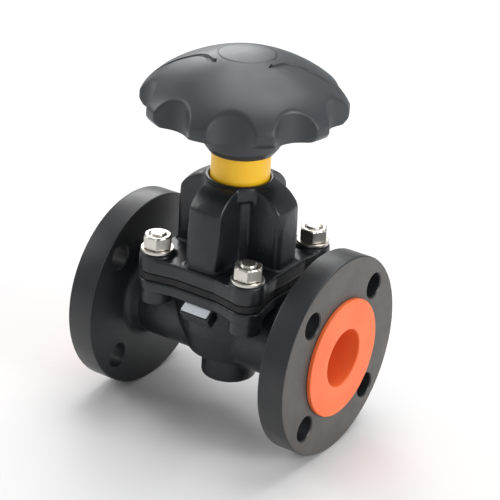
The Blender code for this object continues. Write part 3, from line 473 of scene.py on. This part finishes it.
def cut(target: Shape, tool: Shape) -> Shape:
    """Cut one closed shape out of another.

    Args:
        target: The shape to change, which is freed.
        tool: The shape to take away, which is freed.

    Returns:
        The new shape.
    """
    holder = as_object("shape", target)
    cutter = as_object("tool", tool)
    boolean = holder.modifiers.new("Cut", "BOOLEAN")
    boolean.object = cutter
    boolean.operation = "DIFFERENCE"
    boolean.solver = "EXACT"
    bm = settled(holder)
    bpy.data.objects.remove(cutter)
    bmesh.ops.remove_doubles(bm, verts=bm.verts, dist=CUT_MERGE)
    return bm


def cad_copy(node: str) -> Shape:
    """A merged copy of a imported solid.

    Args:
        node: The solid's name.

    Returns:
        The copy.
    """
    bm = bmesh.new()
    bm.from_mesh(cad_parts[node].data)
    bmesh.ops.remove_doubles(bm, verts=bm.verts, dist=MERGE)
    bmesh.ops.recalc_face_normals(bm, faces=bm.faces)
    return bm


def cast_skin(bm: Shape, voxel: float, passes: int) -> Shape:
    """Give a shape the rounded edges and fillets of a casting.

    Args:
        bm: The shape, which is freed.
        voxel: The size of the new mesh's faces.
        passes: How many times the surface is smoothed.

    Returns:
        The new shape.
    """
    holder = as_object("casting", bm)
    remesh = holder.modifiers.new("Skin", "REMESH")
    remesh.mode = "VOXEL"
    remesh.voxel_size = voxel
    smooth = holder.modifiers.new("Fettle", "SMOOTH")
    smooth.factor = 0.5
    smooth.iterations = passes
    return settled(holder)


def present(name: str, bm: Shape, finish: bpy.types.Material, body: Body | None,
            nodes: tuple[str, ...] = (),
            sharp: float = 40.0) -> bpy.types.Object:
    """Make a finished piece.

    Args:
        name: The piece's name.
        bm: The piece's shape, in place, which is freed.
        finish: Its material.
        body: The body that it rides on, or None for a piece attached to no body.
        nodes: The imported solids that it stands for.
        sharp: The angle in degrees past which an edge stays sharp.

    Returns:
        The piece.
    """
    made = as_object(name, bm)
    made.data.shade_smooth()
    made.data.set_sharp_from_angle(angle=math.radians(sharp))
    made.data.materials.append(finish)
    if body is not None:
        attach(made, body.value)
    if nodes:
        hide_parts(*nodes)
    log.info("%s: %d faces", name, len(made.data.polygons))
    return made


def along_pipe(bm: Shape, sign: float, height: float) -> Shape:
    """Lay a shape turned about Z along the pipe instead.

    Args:
        bm: The shape, whose heights become stations along the pipe.
        sign: One for the outlet side and minus one for the inlet side.
        height: The height of the pipe's axis.

    Returns:
        The same shape.
    """
    lay = Matrix.Translation((0, 0, height)) @ Matrix.Rotation(sign * math.pi / 2, 4, "Y")
    bmesh.ops.transform(bm, matrix=lay, verts=bm.verts)
    return bm


# --- Body and lining ----------------------------------------------------------------------

@dataclass
class BodyCasting:
    """The coated iron body: a casting between two faced line flanges."""

    bolt_circle: float = 98.4 * MM
    bolt_hole: float = 15.9 * MM
    bore: float = 43.1 * MM
    hub_radius: float = 27.1 * MM
    hub_length: float = 9.0 * MM
    hub_fillet: float = 6.0 * MM
    edge: float = 1.1 * MM
    bore_edge: float = 0.4 * MM
    hub_step: float = 1.2 * MM
    hole_lip: float = 0.7 * MM
    drill_past: float = 2.0 * MM
    hole_count: int = 4
    faced_depth: float = 0.2 * MM
    voxel: float = 0.9 * MM
    passes: int = 7
    steps: int = 200

    def build(self) -> None:
        """Build the casting and both flanges."""
        present("body_casting", cast_skin(cad_copy("valve_body"), self.voxel, self.passes),
                CAST_COATING.material(), Body.VALVE, ("valve_body",), sharp=60.0)
        turned = TURNED_COATING.material()
        faced = FACED_COATING_PAINTED_LIGHT.material()
        for side, sign in (("inlet", -1.0), ("outlet", 1.0)):
            flange = present(f"{side}_line_flange", self.flange(f"{side}_flange", sign), turned,
                             Body.VALVE, (f"{side}_flange",))
            flange.data.materials.append(faced)
            reach = max(abs(corner.x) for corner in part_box(f"{side}_flange"))
            front = reach - self.faced_depth
            # The flanges' front faces take the faced coating, whose pale grey is painted light.
            for face in flange.data.polygons:
                if face.normal.x * sign > 0.9 and face.center.x * sign > front:
                    face.material_index = 1

    def flange(self, node: str, sign: float) -> Shape:
        """One line flange with its bolt holes and the fillet behind it.

        Args:
            node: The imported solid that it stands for.
            sign: One for the outlet side and minus one for the inlet side.

        Returns:
            The shape.
        """
        low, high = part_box(node)
        outer = (high.y - low.y) / 2
        front = max(abs(low.x), abs(high.x))
        back = min(abs(low.x), abs(high.x))
        inner = self.bore / 2
        shape = lathe(rounded([
            (inner, front, self.bore_edge),
            (outer, front, self.edge),
            (outer, back, self.edge),
            (self.hub_radius + self.hub_step, back, self.hub_fillet),
            (self.hub_radius, back - self.hub_length, 0.0),
            (inner, back - self.hub_length, 0.0),
        ], segments=6), self.steps)
        hole = self.bolt_hole / 2
        past = self.drill_past
        for i in range(self.hole_count):
            angle = (i + 0.5) * FULL_TURN / self.hole_count
            drill = lathe(rounded([
                (0.0, front + past, 0.0),
                (hole + self.hole_lip + past, front + past, 0.0),
                (hole, front - self.hole_lip, 0.0),
                (hole, back + self.hole_lip, 0.0),
                (hole + self.hole_lip + past, back - past, 0.0),
                (0.0, back - past, 0.0),
            ], closed=False), 64, closed=False)
            centre = Vector((math.cos(angle), math.sin(angle), 0)) * self.bolt_circle / 2
            bmesh.ops.translate(drill, vec=centre, verts=drill.verts)
            shape = cut(shape, drill)
        return along_pipe(shape, sign, (low.z + high.z) / 2)


@dataclass
class Lining:
    """The orange moulded lining: a ring on each line face and the bore over the weir."""

    bore: float = 18.25 * MM
    wall: float = 3.0 * MM
    ring_thickness: float = 2.7 * MM
    overlap: float = 0.7 * MM
    lip: float = 0.8 * MM
    mouth_lip: float = 1.1 * MM
    ring_heel: float = 0.3 * MM
    inner_corner: float = 0.5 * MM
    voxel: float = 0.8 * MM
    passes: int = 4

    def build(self) -> None:
        """Build both mouths and the part between them."""
        orange = MOULDED_ORANGE.material()
        for side, sign in (("inlet", -1.0), ("outlet", 1.0)):
            present(f"{side}_mouth", self.mouth(f"{side}_lining", sign), orange, Body.VALVE,
                    (f"{side}_lining",))
        present("weir_lining", cast_skin(cad_copy("body_lining"), self.voxel, self.passes), orange,
                Body.VALVE, ("body_lining",), sharp=60.0)

    def mouth(self, node: str, sign: float) -> Shape:
        """One straight end of the lining with its face ring.

        Args:
            node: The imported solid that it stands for.
            sign: One for the outlet side and minus one for the inlet side.

        Returns:
            The shape.
        """
        low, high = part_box(node)
        ring = (high.y - low.y) / 2
        front = max(abs(low.x), abs(high.x))
        back = min(abs(low.x), abs(high.x)) - self.overlap
        outer = self.bore + self.wall
        shape = lathe(rounded([
            (self.bore, front, self.mouth_lip),
            (ring, front, self.lip),
            (ring, front - self.ring_thickness, self.ring_heel),
            (outer, front - self.ring_thickness, self.inner_corner),
            (outer, back, 0.0),
            (self.bore, back, 0.0),
        ], segments=6), 160)
        return along_pipe(shape, sign, (low.z + high.z) / 2)


# --- Diaphragm ----------------------------------------------------------------------------

@dataclass
class Diaphragm:
    """The rubber diaphragm: a clamped rim, eight sectors and the centre pad."""

    rim_bore: float = 26.9 * MM
    pad_radius: float = 15.3 * MM
    nose_radius: float = 11.6 * MM
    seat_clearance: float = 0.6 * MM
    pad_height: float = 6.0 * MM
    thickness: float = 3.2 * MM
    ridge_rise: float = 3.0 * MM
    rim_drop: float = 4.9 * MM
    rim_half: float = 2.3 * MM
    core_past: float = 1.0 * MM
    pad_edge: float = 1.2 * MM
    pad_shoulder: float = 4.5 * MM
    nose_edge: float = 1.0 * MM
    pad_overlap: float = 0.4 * MM
    rim_overlap: float = 0.5 * MM
    sectors: int = 8
    stations: int = 14
    sector_steps: int = 9
    voxel: float = 0.6 * MM
    passes: int = 3

    def build(self) -> None:
        """Build the rim, the sectors and the pad."""
        rubber = MOULDED_RUBBER.material()
        low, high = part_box("diaphragm")
        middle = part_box("bonnet")[0].z - self.rim_drop + self.rim_half
        top = high.z + self.core_past
        bottom = low.z - self.core_past
        core = lathe([Vector((0, top)), Vector((self.rim_bore, top)),
                      Vector((self.rim_bore, bottom)), Vector((0, bottom))], 96, closed=False)
        rim = cut(cad_copy("diaphragm"), core)
        present("diaphragm_rim", cast_skin(rim, self.voxel, self.passes), rubber, Body.VALVE,
                ("diaphragm",), sharp=60.0)
        self.build_pad(rubber, low.z)
        self.build_sectors(rubber, middle, low.z + self.pad_height / 2)

    def build_pad(self, rubber: bpy.types.Material, bottom: float) -> None:
        """Build the pad that closes on the weir.

        Args:
            rubber: The material.
            bottom: The height of the pad's underside.
        """
        top = bottom + self.pad_height
        face = bottom + self.seat_clearance
        pad = lathe(rounded([
            (0, top, 0),
            (self.pad_radius, top, self.pad_edge),
            (self.pad_radius, bottom + self.pad_shoulder, self.pad_edge),
            (self.nose_radius, face, self.nose_edge),
            (0, face, 0),
        ], closed=False), 96, closed=False)
        present("diaphragm_pad", pad, rubber, Body.COMPRESSOR)

    def build_sectors(self, rubber: bpy.types.Material, rim: float, pad: float) -> None:
        """Build the membrane between the rim and the pad, as sectors attached to no body.

        Args:
            rubber: The material.
            rim: The height of the rim's middle.
            pad: The height of the pad's middle.
        """
        inner = self.pad_radius - self.pad_overlap
        outer = self.rim_bore + self.rim_overlap
        half = self.thickness / 2
        line = []
        for i in range(self.stations + 1):
            t = i / self.stations
            rise = self.ridge_rise * math.sin(math.pi * t) ** 2
            line.append(Vector((inner + (outer - inner) * t, pad + (rim - pad) * t + rise)))
        section = [point + Vector((0, half)) for point in line]
        section += [point - Vector((0, half)) for point in reversed(line)]
        span = FULL_TURN / self.sectors
        for i in range(self.sectors):
            bm = bmesh.new()
            face = bm.faces.new([bm.verts.new((point.x, 0.0, point.y)) for point in section])
            start = Matrix.Rotation((i - 0.5) * span, 3, "Z")
            bmesh.ops.rotate(bm, verts=bm.verts, cent=(0, 0, 0), matrix=start)
            bmesh.ops.spin(bm, geom=[face] + face.verts[:] + face.edges[:], cent=(0, 0, 0),
                           axis=(0, 0, 1), dvec=(0, 0, 0), angle=span, steps=self.sector_steps,
                           use_merge=False, use_duplicate=False)
            bmesh.ops.recalc_face_normals(bm, faces=bm.faces)
            made = present(f"diaphragm_web_{i + 1}", bm, rubber, None,
                           sharp=60.0)
            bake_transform(made)


# --- Bonnet and its fasteners -------------------------------------------------------------

@dataclass
class Bonnet:
    """The coated bonnet casting with its four lobes."""

    voxel: float = 0.75 * MM
    passes: int = 8

    def build(self) -> None:
        """Build the casting."""
        present("bonnet_casting", cast_skin(cad_copy("bonnet"), self.voxel, self.passes),
                CAST_COATING.material(), Body.VALVE, ("bonnet",), sharp=60.0)


@dataclass
class BonnetFasteners:
    """The four studs, washers and nuts that hold the bonnet down."""

    pitch: float = 1.5 * MM
    thread_depth: float = 0.7 * MM
    crest: float = 0.12 * MM
    turns: int = 7
    stud_edge: float = 0.4 * MM
    washer_hole: float = 5.5 * MM
    washer_edge: float = 0.45 * MM
    hole_edge: float = 0.2 * MM
    nut_hole: float = 5.3 * MM
    steps: int = 72
    count: int = 4

    def build(self) -> None:
        """Build each stud with its washer and nut."""
        for i in range(1, self.count + 1):
            low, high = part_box(f"bonnet_stud_{i}")
            centre = (low + high) / 2
            steel = turned_steel(f"stainless_{i}", (centre.x, centre.y, 0.0)).material()
            shapes = {"stud": self.stud(i), "washer": self.washer(i), "nut": self.nut(i)}
            for kind, shape in shapes.items():
                bmesh.ops.translate(shape, vec=(centre.x, centre.y, 0), verts=shape.verts)
                name = f"bonnet_{kind}_{i}"
                present(f"{kind}_{i}", shape, steel, Body.VALVE, (name,), sharp=30.0)

    def stud(self, number: int) -> Shape:
        """A stud with its thread showing at the top.

        Args:
            number: Which stud.

        Returns:
            The shape, about the Z axis.
        """
        low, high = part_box(f"bonnet_stud_{number}")
        radius = (high.x - low.x) / 2
        root = radius - self.thread_depth
        corners = [(0, high.z, 0), (root, high.z, 0.2 * MM),
                   (root + 0.1 * MM, high.z - 0.35 * MM, 0)]
        height = high.z - 0.5 * MM
        for turn in range(self.turns):
            crest = height - (turn + 0.5) * self.pitch
            corners += [(radius, crest + self.crest, 0), (radius, crest - self.crest, 0),
                        (root, crest - self.pitch / 2, 0)]
        corners += [(radius, corners[-1][1] - 1 * MM, 0), (radius, low.z, self.stud_edge),
                    (0, low.z, 0)]
        return lathe(rounded(corners, closed=False), self.steps, closed=False)

    def washer(self, number: int) -> Shape:
        """A plain washer.

        Args:
            number: Which washer.

        Returns:
            The shape, about the Z axis.
        """
        low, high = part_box(f"bonnet_washer_{number}")
        outer = (high.x - low.x) / 2
        return lathe(rounded([
            (self.washer_hole, high.z, self.hole_edge),
            (outer, high.z, self.washer_edge),
            (outer, low.z, self.washer_edge),
            (self.washer_hole, low.z, self.hole_edge),
        ]), 96)

    def nut(self, number: int) -> Shape:
        """A chamfered hexagon nut.

        Args:
            number: Which nut.

        Returns:
            The shape, about the Z axis.
        """
        low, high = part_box(f"bonnet_nut_{number}")
        return hexagon_nut(high.y - low.y, self.nut_hole, low.z, high.z)


# A nut's chamfered face as a share of its flats, the slopes of its chamfers, and its edges.
NUT_FACE_SHARE = 0.47
NUT_TOP_SLOPE = 0.58
NUT_FOOT_SLOPE = 0.3
NUT_COUNTERSINK = 0.6 * MM
NUT_EDGE = 0.2 * MM
NUT_SOFTNESS = 0.12 * MM


def hexagon_nut(flats: float, hole: float, low: float, high: float) -> Shape:
    """A chamfered hexagon nut about the Z axis, with two flats facing along Y.

    Args:
        flats: The width across its flats.
        hole: The radius of its hole.
        low: The height of its underside.
        high: The height of its top.

    Returns:
        The shape.
    """
    corner = flats / math.sqrt(3)
    top = flats * NUT_FACE_SHARE
    mouth = hole + NUT_COUNTERSINK
    bm = lathe(rounded([
        (mouth, high, 0.1 * MM),
        (top, high, 0.35 * MM),
        (corner, high - (corner - top) * NUT_TOP_SLOPE, NUT_EDGE),
        (corner, low + (corner - top) * NUT_FOOT_SLOPE, NUT_EDGE),
        (top + 0.4 * MM, low, NUT_EDGE),
        (mouth, low, 0.1 * MM),
        (hole, low + NUT_COUNTERSINK, 0),
        (hole, high - NUT_COUNTERSINK, 0),
    ], segments=4), 144)

    def flat(angle: float, _height: float) -> float:
        """The radius of the hexagon's flat at an angle.

        Args:
            angle: The angle round the axis.
            _height: The height, which makes no difference.

        Returns:
            The radius.
        """
        sixth = FULL_TURN / 6
        return flats / 2 / math.cos((angle + sixth) % sixth - sixth / 2)

    hold_in(bm, flat, NUT_SOFTNESS)
    return bm


# --- Indicator ----------------------------------------------------------------------------

@dataclass
class IndicatorSleeve:
    """The yellow sleeve that shows while the valve is open."""

    wall: float = 2.4 * MM
    edge: float = 0.5 * MM
    foot_edge: float = 0.3 * MM

    def build(self) -> None:
        """Build the sleeve."""
        low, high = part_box("indicator_sleeve")
        outer = (high.x - low.x) / 2
        inner = outer - self.wall
        bm = lathe(rounded([
            (inner, high.z, self.edge),
            (outer, high.z, self.edge),
            (outer, low.z, self.foot_edge),
            (inner, low.z, self.foot_edge),
        ]), 128)
        present("yellow_sleeve", bm, MOULDED_YELLOW.material(), Body.VALVE,
                ("indicator_sleeve",))


# --- Handwheel ----------------------------------------------------------------------------

# The stations of a dome groove: radius in mm, turn in degrees and share of the full width.
GROOVE_ROUTE = (
    (57, 93, 0.55), (53, 92.5, 0.8), (43, 91, 1.0), (37, 89, 1.0), (31, 86, 1.0), (27, 81, 1.0),
    (24.4, 73, 0.95), (23.6, 63, 0.95), (23.6, 54, 1.05), (22.6, 48.5, 1.2), (21.6, 46, 1.3),
)
GROOVE_STEPS = 8


@dataclass
class Handwheel:
    """The domed handwheel with its scalloped grip, two moulded grooves and its cap."""

    radius: float = 62.5 * MM
    lobes: int = 10
    phase: float = math.radians(9.0)
    scallop_radius: float = 18.0 * MM
    scallop_depth: float = 7.5 * MM
    scallop_lean: float = math.radians(4.0)
    grip_depth: float = 8.0 * MM
    rim_depth: float = 10.0 * MM
    wall: float = 5.0 * MM
    grip_wall: float = 3.0 * MM
    hub_radius: float = 23.2 * MM
    hub_wall: float = 1.6 * MM
    skirt_bore: float = 18.7 * MM
    cavity_depth: float = 20.3 * MM
    shaft_bore: float = 8.2 * MM
    hub_to_rim: float = 24.2 * MM
    dome_rise: float = 30.5 * MM
    dome_spread: float = 1.68
    dome_drop: float = 1.47
    dome_stations: int = 74
    cap_radius: float = 17.0 * MM
    cap_gap: float = 0.12 * MM
    cap_seat: float = 1.6 * MM
    cap_ring: float = 0.35 * MM
    cap_stations: int = 20
    ring_dip: float = 0.12 * MM
    groove_radius: float = 2.0 * MM
    groove_lift: float = 0.6 * MM
    edge_softness: float = 1.9 * MM
    groove_facing: float = math.radians(-65.0)
    steps: int = 480
    hub_z: float = field(init=False)
    rim_z: float = field(init=False)
    rim_top: float = field(init=False)

    def __post_init__(self) -> None:
        """Read the wheel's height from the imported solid."""
        self.hub_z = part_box("handwheel")[0].z
        self.rim_z = self.hub_z + self.hub_to_rim
        self.rim_top = self.rim_z + self.grip_depth

    def dome(self, radius: float) -> float:
        """The height of the outer surface at a radius.

        Args:
            radius: The distance from the axis.

        Returns:
            The height.
        """
        share = min(radius / self.radius, 1.0)
        fall = (1 - share ** self.dome_spread) ** (1 / self.dome_drop)
        return self.rim_top + self.dome_rise * fall

    def profile(self) -> list[Vector]:
        """The wheel's closed profile before its scallops.

        Returns:
            The points, outer side first.
        """
        recess = self.cap_radius + self.cap_gap
        seat = self.dome(recess) - self.cap_seat
        outer = rounded([(self.shaft_bore, seat, 0.0), (recess, seat, 0.2 * MM),
                         (recess, self.dome(recess) + 0.02 * MM, 0.0)], closed=False)
        ring = recess + self.cap_ring
        for i in range(self.dome_stations):
            share = math.sin(i / self.dome_stations * math.pi / 2) ** 0.9
            here = ring + (self.radius - ring) * share
            dip = self.ring_dip if i == 0 else 0.0
            outer.append(Vector((here, self.dome(here) - dip)))
        grip = self.radius - self.scallop_depth - self.grip_wall
        outer += rounded([
            (self.radius, self.rim_top, 0.0),
            (self.radius, self.rim_z + self.rim_depth * 0.35, 3.0 * MM),
            (self.radius - 2.6 * MM, self.rim_z, 1.6 * MM),
            (grip + 0.8 * MM, self.rim_z, 0.7 * MM),
            (self.inside(0.3), self.rim_z + self.rim_depth * 0.3, 0.0),
        ], closed=False, segments=8)
        under = [self.inside(1.0), self.radius * 0.72, self.radius * 0.6, self.radius * 0.5]
        heights = [self.rim_z + self.rim_depth] + [self.dome(r) - self.wall for r in under[1:]]
        web = self.hub_radius + 3 * MM
        inner = [(r, z, 4 * MM) for r, z in zip(under, heights)]
        inner += [(web, self.dome(web) - self.wall, 3 * MM),
                  (self.hub_radius, self.dome(web) - self.wall - 4 * MM, 3 * MM),
                  (self.hub_radius, self.hub_z + 4 * MM, 1.5 * MM),
                  (self.skirt_bore + self.hub_wall, self.hub_z, 0.6 * MM),
                  (self.skirt_bore, self.hub_z, 0.4 * MM),
                  (self.skirt_bore, self.hub_z + self.cavity_depth, 0.6 * MM),
                  (self.shaft_bore, self.hub_z + self.cavity_depth, 0.0)]
        return outer + rounded(inner, closed=False)

    def inside(self, share: float) -> float:
        """The rim's inner radius at a share of its depth.

        Args:
            share: Zero at the rim's underside and one at its depth.

        Returns:
            The radius.
        """
        lean = self.rim_depth * math.tan(self.scallop_lean) * share
        return self.radius - self.scallop_depth - self.grip_wall - lean

    def scallop(self, angle: float, height: float) -> float:
        """The radius of the scalloped outline at an angle and a height.

        Args:
            angle: The angle round the axis.
            height: The height.

        Returns:
            The outline's radius, larger than the wheel between the scallops.
        """
        pitch = FULL_TURN / self.lobes
        off = (angle - self.phase + pitch / 2) % pitch - pitch / 2
        lean = (height - self.rim_z) * math.tan(self.scallop_lean)
        centre = self.radius + self.scallop_radius - self.scallop_depth - lean
        side = centre * math.sin(abs(off))
        if side >= self.scallop_radius:
            return self.radius * 2
        return centre * math.cos(off) - math.sqrt(self.scallop_radius ** 2 - side ** 2)

    def groove(self, side: float) -> Shape:
        """The tool that cuts one hooked groove into the dome.

        Args:
            side: One or minus one, for either side of the facing direction.

        Returns:
            The tool's shape.
        """
        curve = bpy.data.curves.new("groove", "CURVE")
        curve.dimensions = "3D"
        curve.bevel_depth = self.groove_radius
        curve.bevel_resolution = 4
        curve.use_fill_caps = True
        stations = [Vector(station) for station in GROOVE_ROUTE]
        stations = [stations[0]] + stations + [stations[-1]]
        path = []
        for a, b, c, d in zip(stations, stations[1:], stations[2:], stations[3:]):
            for k in range(GROOVE_STEPS):
                t = k / GROOVE_STEPS
                path.append(0.5 * (2 * b + (c - a) * t + (2 * a - 5 * b + 4 * c - d) * t * t
                                   + (3 * b - a - 3 * c + d) * t ** 3))
        spline = curve.splines.new("POLY")
        spline.points.add(len(path) - 1)
        for point, (across, turn, width) in zip(spline.points, path):
            angle = self.groove_facing + side * math.radians(turn)
            radius = across * MM
            height = self.dome(radius) + self.groove_lift
            point.co = (radius * math.cos(angle), radius * math.sin(angle), height, 1)
            point.radius = width
        holder = bpy.data.objects.new("groove", curve)
        bpy.context.scene.collection.objects.link(holder)
        bm = settled(holder)
        bmesh.ops.remove_doubles(bm, verts=bm.verts, dist=MERGE)
        bmesh.ops.recalc_face_normals(bm, faces=bm.faces)
        return bm

    def build(self) -> None:
        """Build the wheel and its cap."""
        black = MOULDED_BLACK.material()
        wheel = lathe(self.profile(), self.steps)
        hold_in(wheel, self.scallop, self.edge_softness)
        for side in (-1.0, 1.0):
            wheel = cut(wheel, self.groove(side))
        present("domed_handwheel", wheel, black, Body.WHEEL, ("handwheel",),
                sharp=50.0)
        present("wheel_cap", self.cap(), black, Body.WHEEL, ("handwheel_cap",))

    def cap(self) -> Shape:
        """The cap that closes the dome over the spindle's nut.

        Returns:
            The shape.
        """
        low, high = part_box("handwheel_cap")
        edge = self.cap_radius
        rim = self.dome(edge)
        points = [Vector((0.0, high.z))]
        flatten = (high.z - rim) / (self.dome(0.0) - rim)
        for i in range(1, self.cap_stations):
            across = edge * i / self.cap_stations
            points.append(Vector((across, rim + (self.dome(across) - rim) * flatten)))
        points += rounded([
            (edge * 0.97, rim + 0.05 * MM, 0),
            (edge, rim, 0.15 * MM),
            (edge, low.z, 0),
            (0.0, low.z, 0),
        ], closed=False)
        return lathe(points, 160, closed=False)


# --- Data plate ---------------------------------------------------------------------------

@dataclass
class DataPlate:
    """The blank white plate on its sloping pad."""

    length: float = 18.6 * MM
    height: float = 6.4 * MM
    thickness: float = 0.8 * MM
    slope: float = math.radians(32.0)
    corner: float = 0.9 * MM
    margin: float = 0.18 * MM
    border: float = 0.5 * MM
    step: float = 0.08 * MM
    edge: float = 0.1 * MM

    def build(self) -> None:
        """Build the plate."""
        low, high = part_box("data_plate")
        bm = bmesh.new()
        bmesh.ops.create_cube(bm, size=1.0)
        bmesh.ops.scale(bm, vec=(self.length, self.height, self.thickness), verts=bm.verts)
        posts = [edge for edge in bm.edges
                 if abs(edge.verts[0].co.z - edge.verts[1].co.z) > MM / 10]
        bmesh.ops.bevel(bm, geom=posts, offset=self.corner, segments=6, affect="EDGES", profile=0.5,
                        material=-1)
        top = max(bm.faces, key=lambda face: face.calc_center_median().z)
        bmesh.ops.inset_region(bm, faces=[top], thickness=self.margin, depth=0.0)
        bmesh.ops.inset_region(bm, faces=[top], thickness=self.border, depth=0.0)
        bmesh.ops.inset_region(bm, faces=[top], thickness=self.step, depth=-self.step)
        rim = [edge for edge in bm.edges
               if edge.is_manifold and edge.calc_face_angle() > math.radians(60)]
        bmesh.ops.bevel(bm, geom=rim, offset=self.edge, segments=2, affect="EDGES", profile=0.5,
                        material=-1)
        tilt = Matrix.Translation((low + high) / 2) @ Matrix.Rotation(self.slope, 4, "X")
        bmesh.ops.transform(bm, matrix=tilt, verts=bm.verts)
        present("white_plate", bm, PAINTED_WHITE.material(), Body.VALVE,
                ("data_plate",))


# --- Inner pieces -------------------------------------------------------------------------

@dataclass
class Mechanism:
    """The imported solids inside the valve, which keep their shapes and get their finishes."""

    finishes: dict[str, tuple[str, ...]] = field(default_factory=lambda: {
        "steel": ("spindle", "collar_retainer", "diaphragm_stud", "handwheel_washer",
                  "handwheel_nut"),
        "bronze": ("spindle_bush", "thrust_washer"),
        "iron": ("compressor",),
        "rubber": ("spindle_o_ring",),
    })

    def build(self) -> None:
        """Dress each solid."""
        made = {
            "steel": turned_steel("turned_steel", (0.0, 0.0, 0.0)).material(),
            "bronze": TURNED_BRONZE.material(),
            "iron": BARE_IRON.material(),
            "rubber": MOULDED_RUBBER.material(),
        }
        for kind, names in self.finishes.items():
            for name in names:
                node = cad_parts[name]
                node.data.materials.clear()
                node.data.materials.append(made[kind])
                log.info("%s: dressed", name)


# --- Studio -------------------------------------------------------------------------------

@dataclass
class Studio:
    """The pale floor, the soft lights and the camera."""

    azimuth: float = math.radians(32.61)
    elevation: float = math.radians(25.31)
    roll: float = math.radians(3.63)
    distance: float = 1.097
    focus: Point = (0.0056, 0.0076, 0.109)
    lens: float = 128.03
    sensor: float = 36.0
    nearest: float = 0.01
    world_light: float = 0.42
    floor_size: float = 6.0

    def build(self) -> None:
        """Set the floor, the lights and the camera."""
        self.floor()
        self.lights()
        self.camera()

    def floor(self) -> None:
        """A plain pale floor that meets the background softly."""
        bm = bmesh.new()
        bmesh.ops.create_grid(bm, x_segments=1, y_segments=1, size=self.floor_size)
        floor = as_object("floor", bm)
        pale = bpy.data.materials.new("pale_floor")
        pale.use_nodes = True
        shader = pale.node_tree.nodes["Principled BSDF"]
        shader.inputs["Base Color"].default_value = (0.78, 0.78, 0.78, 1.0)
        shader.inputs["Roughness"].default_value = 0.9
        shader.inputs["Specular IOR Level"].default_value = 0.1
        floor.data.materials.append(pale)

    def lights(self) -> None:
        """White surroundings and four soft boxes."""
        world = bpy.data.worlds.new("studio")
        world.use_nodes = True
        background = world.node_tree.nodes["Background"]
        background.inputs["Color"].default_value = (1.0, 1.0, 1.0, 1.0)
        background.inputs["Strength"].default_value = self.world_light
        bpy.context.scene.world = world
        self.soft_box("overhead", (-0.1, 0.45, 1.5), 1.2, 17.0)
        self.soft_box("left", (-1.5, -0.5, 0.9), 0.7, 8.0)
        self.soft_box("back", (-1.1, 1.2, 0.9), 0.8, 9.0)
        self.soft_box("right", (1.7, -0.1, 0.75), 0.8, 17.0)

    def soft_box(self, name: str, place: Point, size: float, power: float) -> None:
        """One square soft box, aimed at the valve.

        Args:
            name: The light's name.
            place: Where it stands.
            size: The length of its side.
            power: Its power in watts.
        """
        light = bpy.data.lights.new(name, "AREA")
        light.shape = "SQUARE"
        light.size = size
        light.energy = power
        holder = bpy.data.objects.new(name, light)
        holder.location = place
        aim = Vector(self.focus) - Vector(place)
        holder.rotation_euler = aim.to_track_quat("-Z", "Y").to_euler()
        bpy.context.scene.collection.objects.link(holder)

    def camera(self) -> None:
        """The camera, a little above and to the right of the front."""
        back = Vector((math.sin(self.azimuth) * math.cos(self.elevation),
                       -math.cos(self.azimuth) * math.cos(self.elevation),
                       math.sin(self.elevation)))
        level = Vector((math.cos(self.azimuth), math.sin(self.azimuth), 0.0))
        rise = back.cross(level)
        right = level * math.cos(self.roll) + rise * math.sin(self.roll)
        up = back.cross(right)
        data = bpy.data.cameras.new("camera")
        data.lens = self.lens
        data.sensor_width = self.sensor
        data.clip_start = self.nearest
        holder = bpy.data.objects.new("camera", data)
        turn = Matrix((right, up, back)).transposed().to_4x4()
        holder.matrix_world = Matrix.Translation(Vector(self.focus) + back * self.distance) @ turn
        bpy.context.scene.collection.objects.link(holder)
        bpy.context.scene.camera = holder


def main() -> None:
    """Build the valve and its studio."""
    bpy.context.scene.view_settings.view_transform = "Standard"
    Studio().build()
    for assembly in (BodyCasting(), Lining(), Diaphragm(), Bonnet(), BonnetFasteners(),
                     IndicatorSleeve(), Handwheel(), DataPlate(), Mechanism()):
        log.info("building %s", type(assembly).__name__)
        assembly.build()


if __name__ == "__main__":
    main()
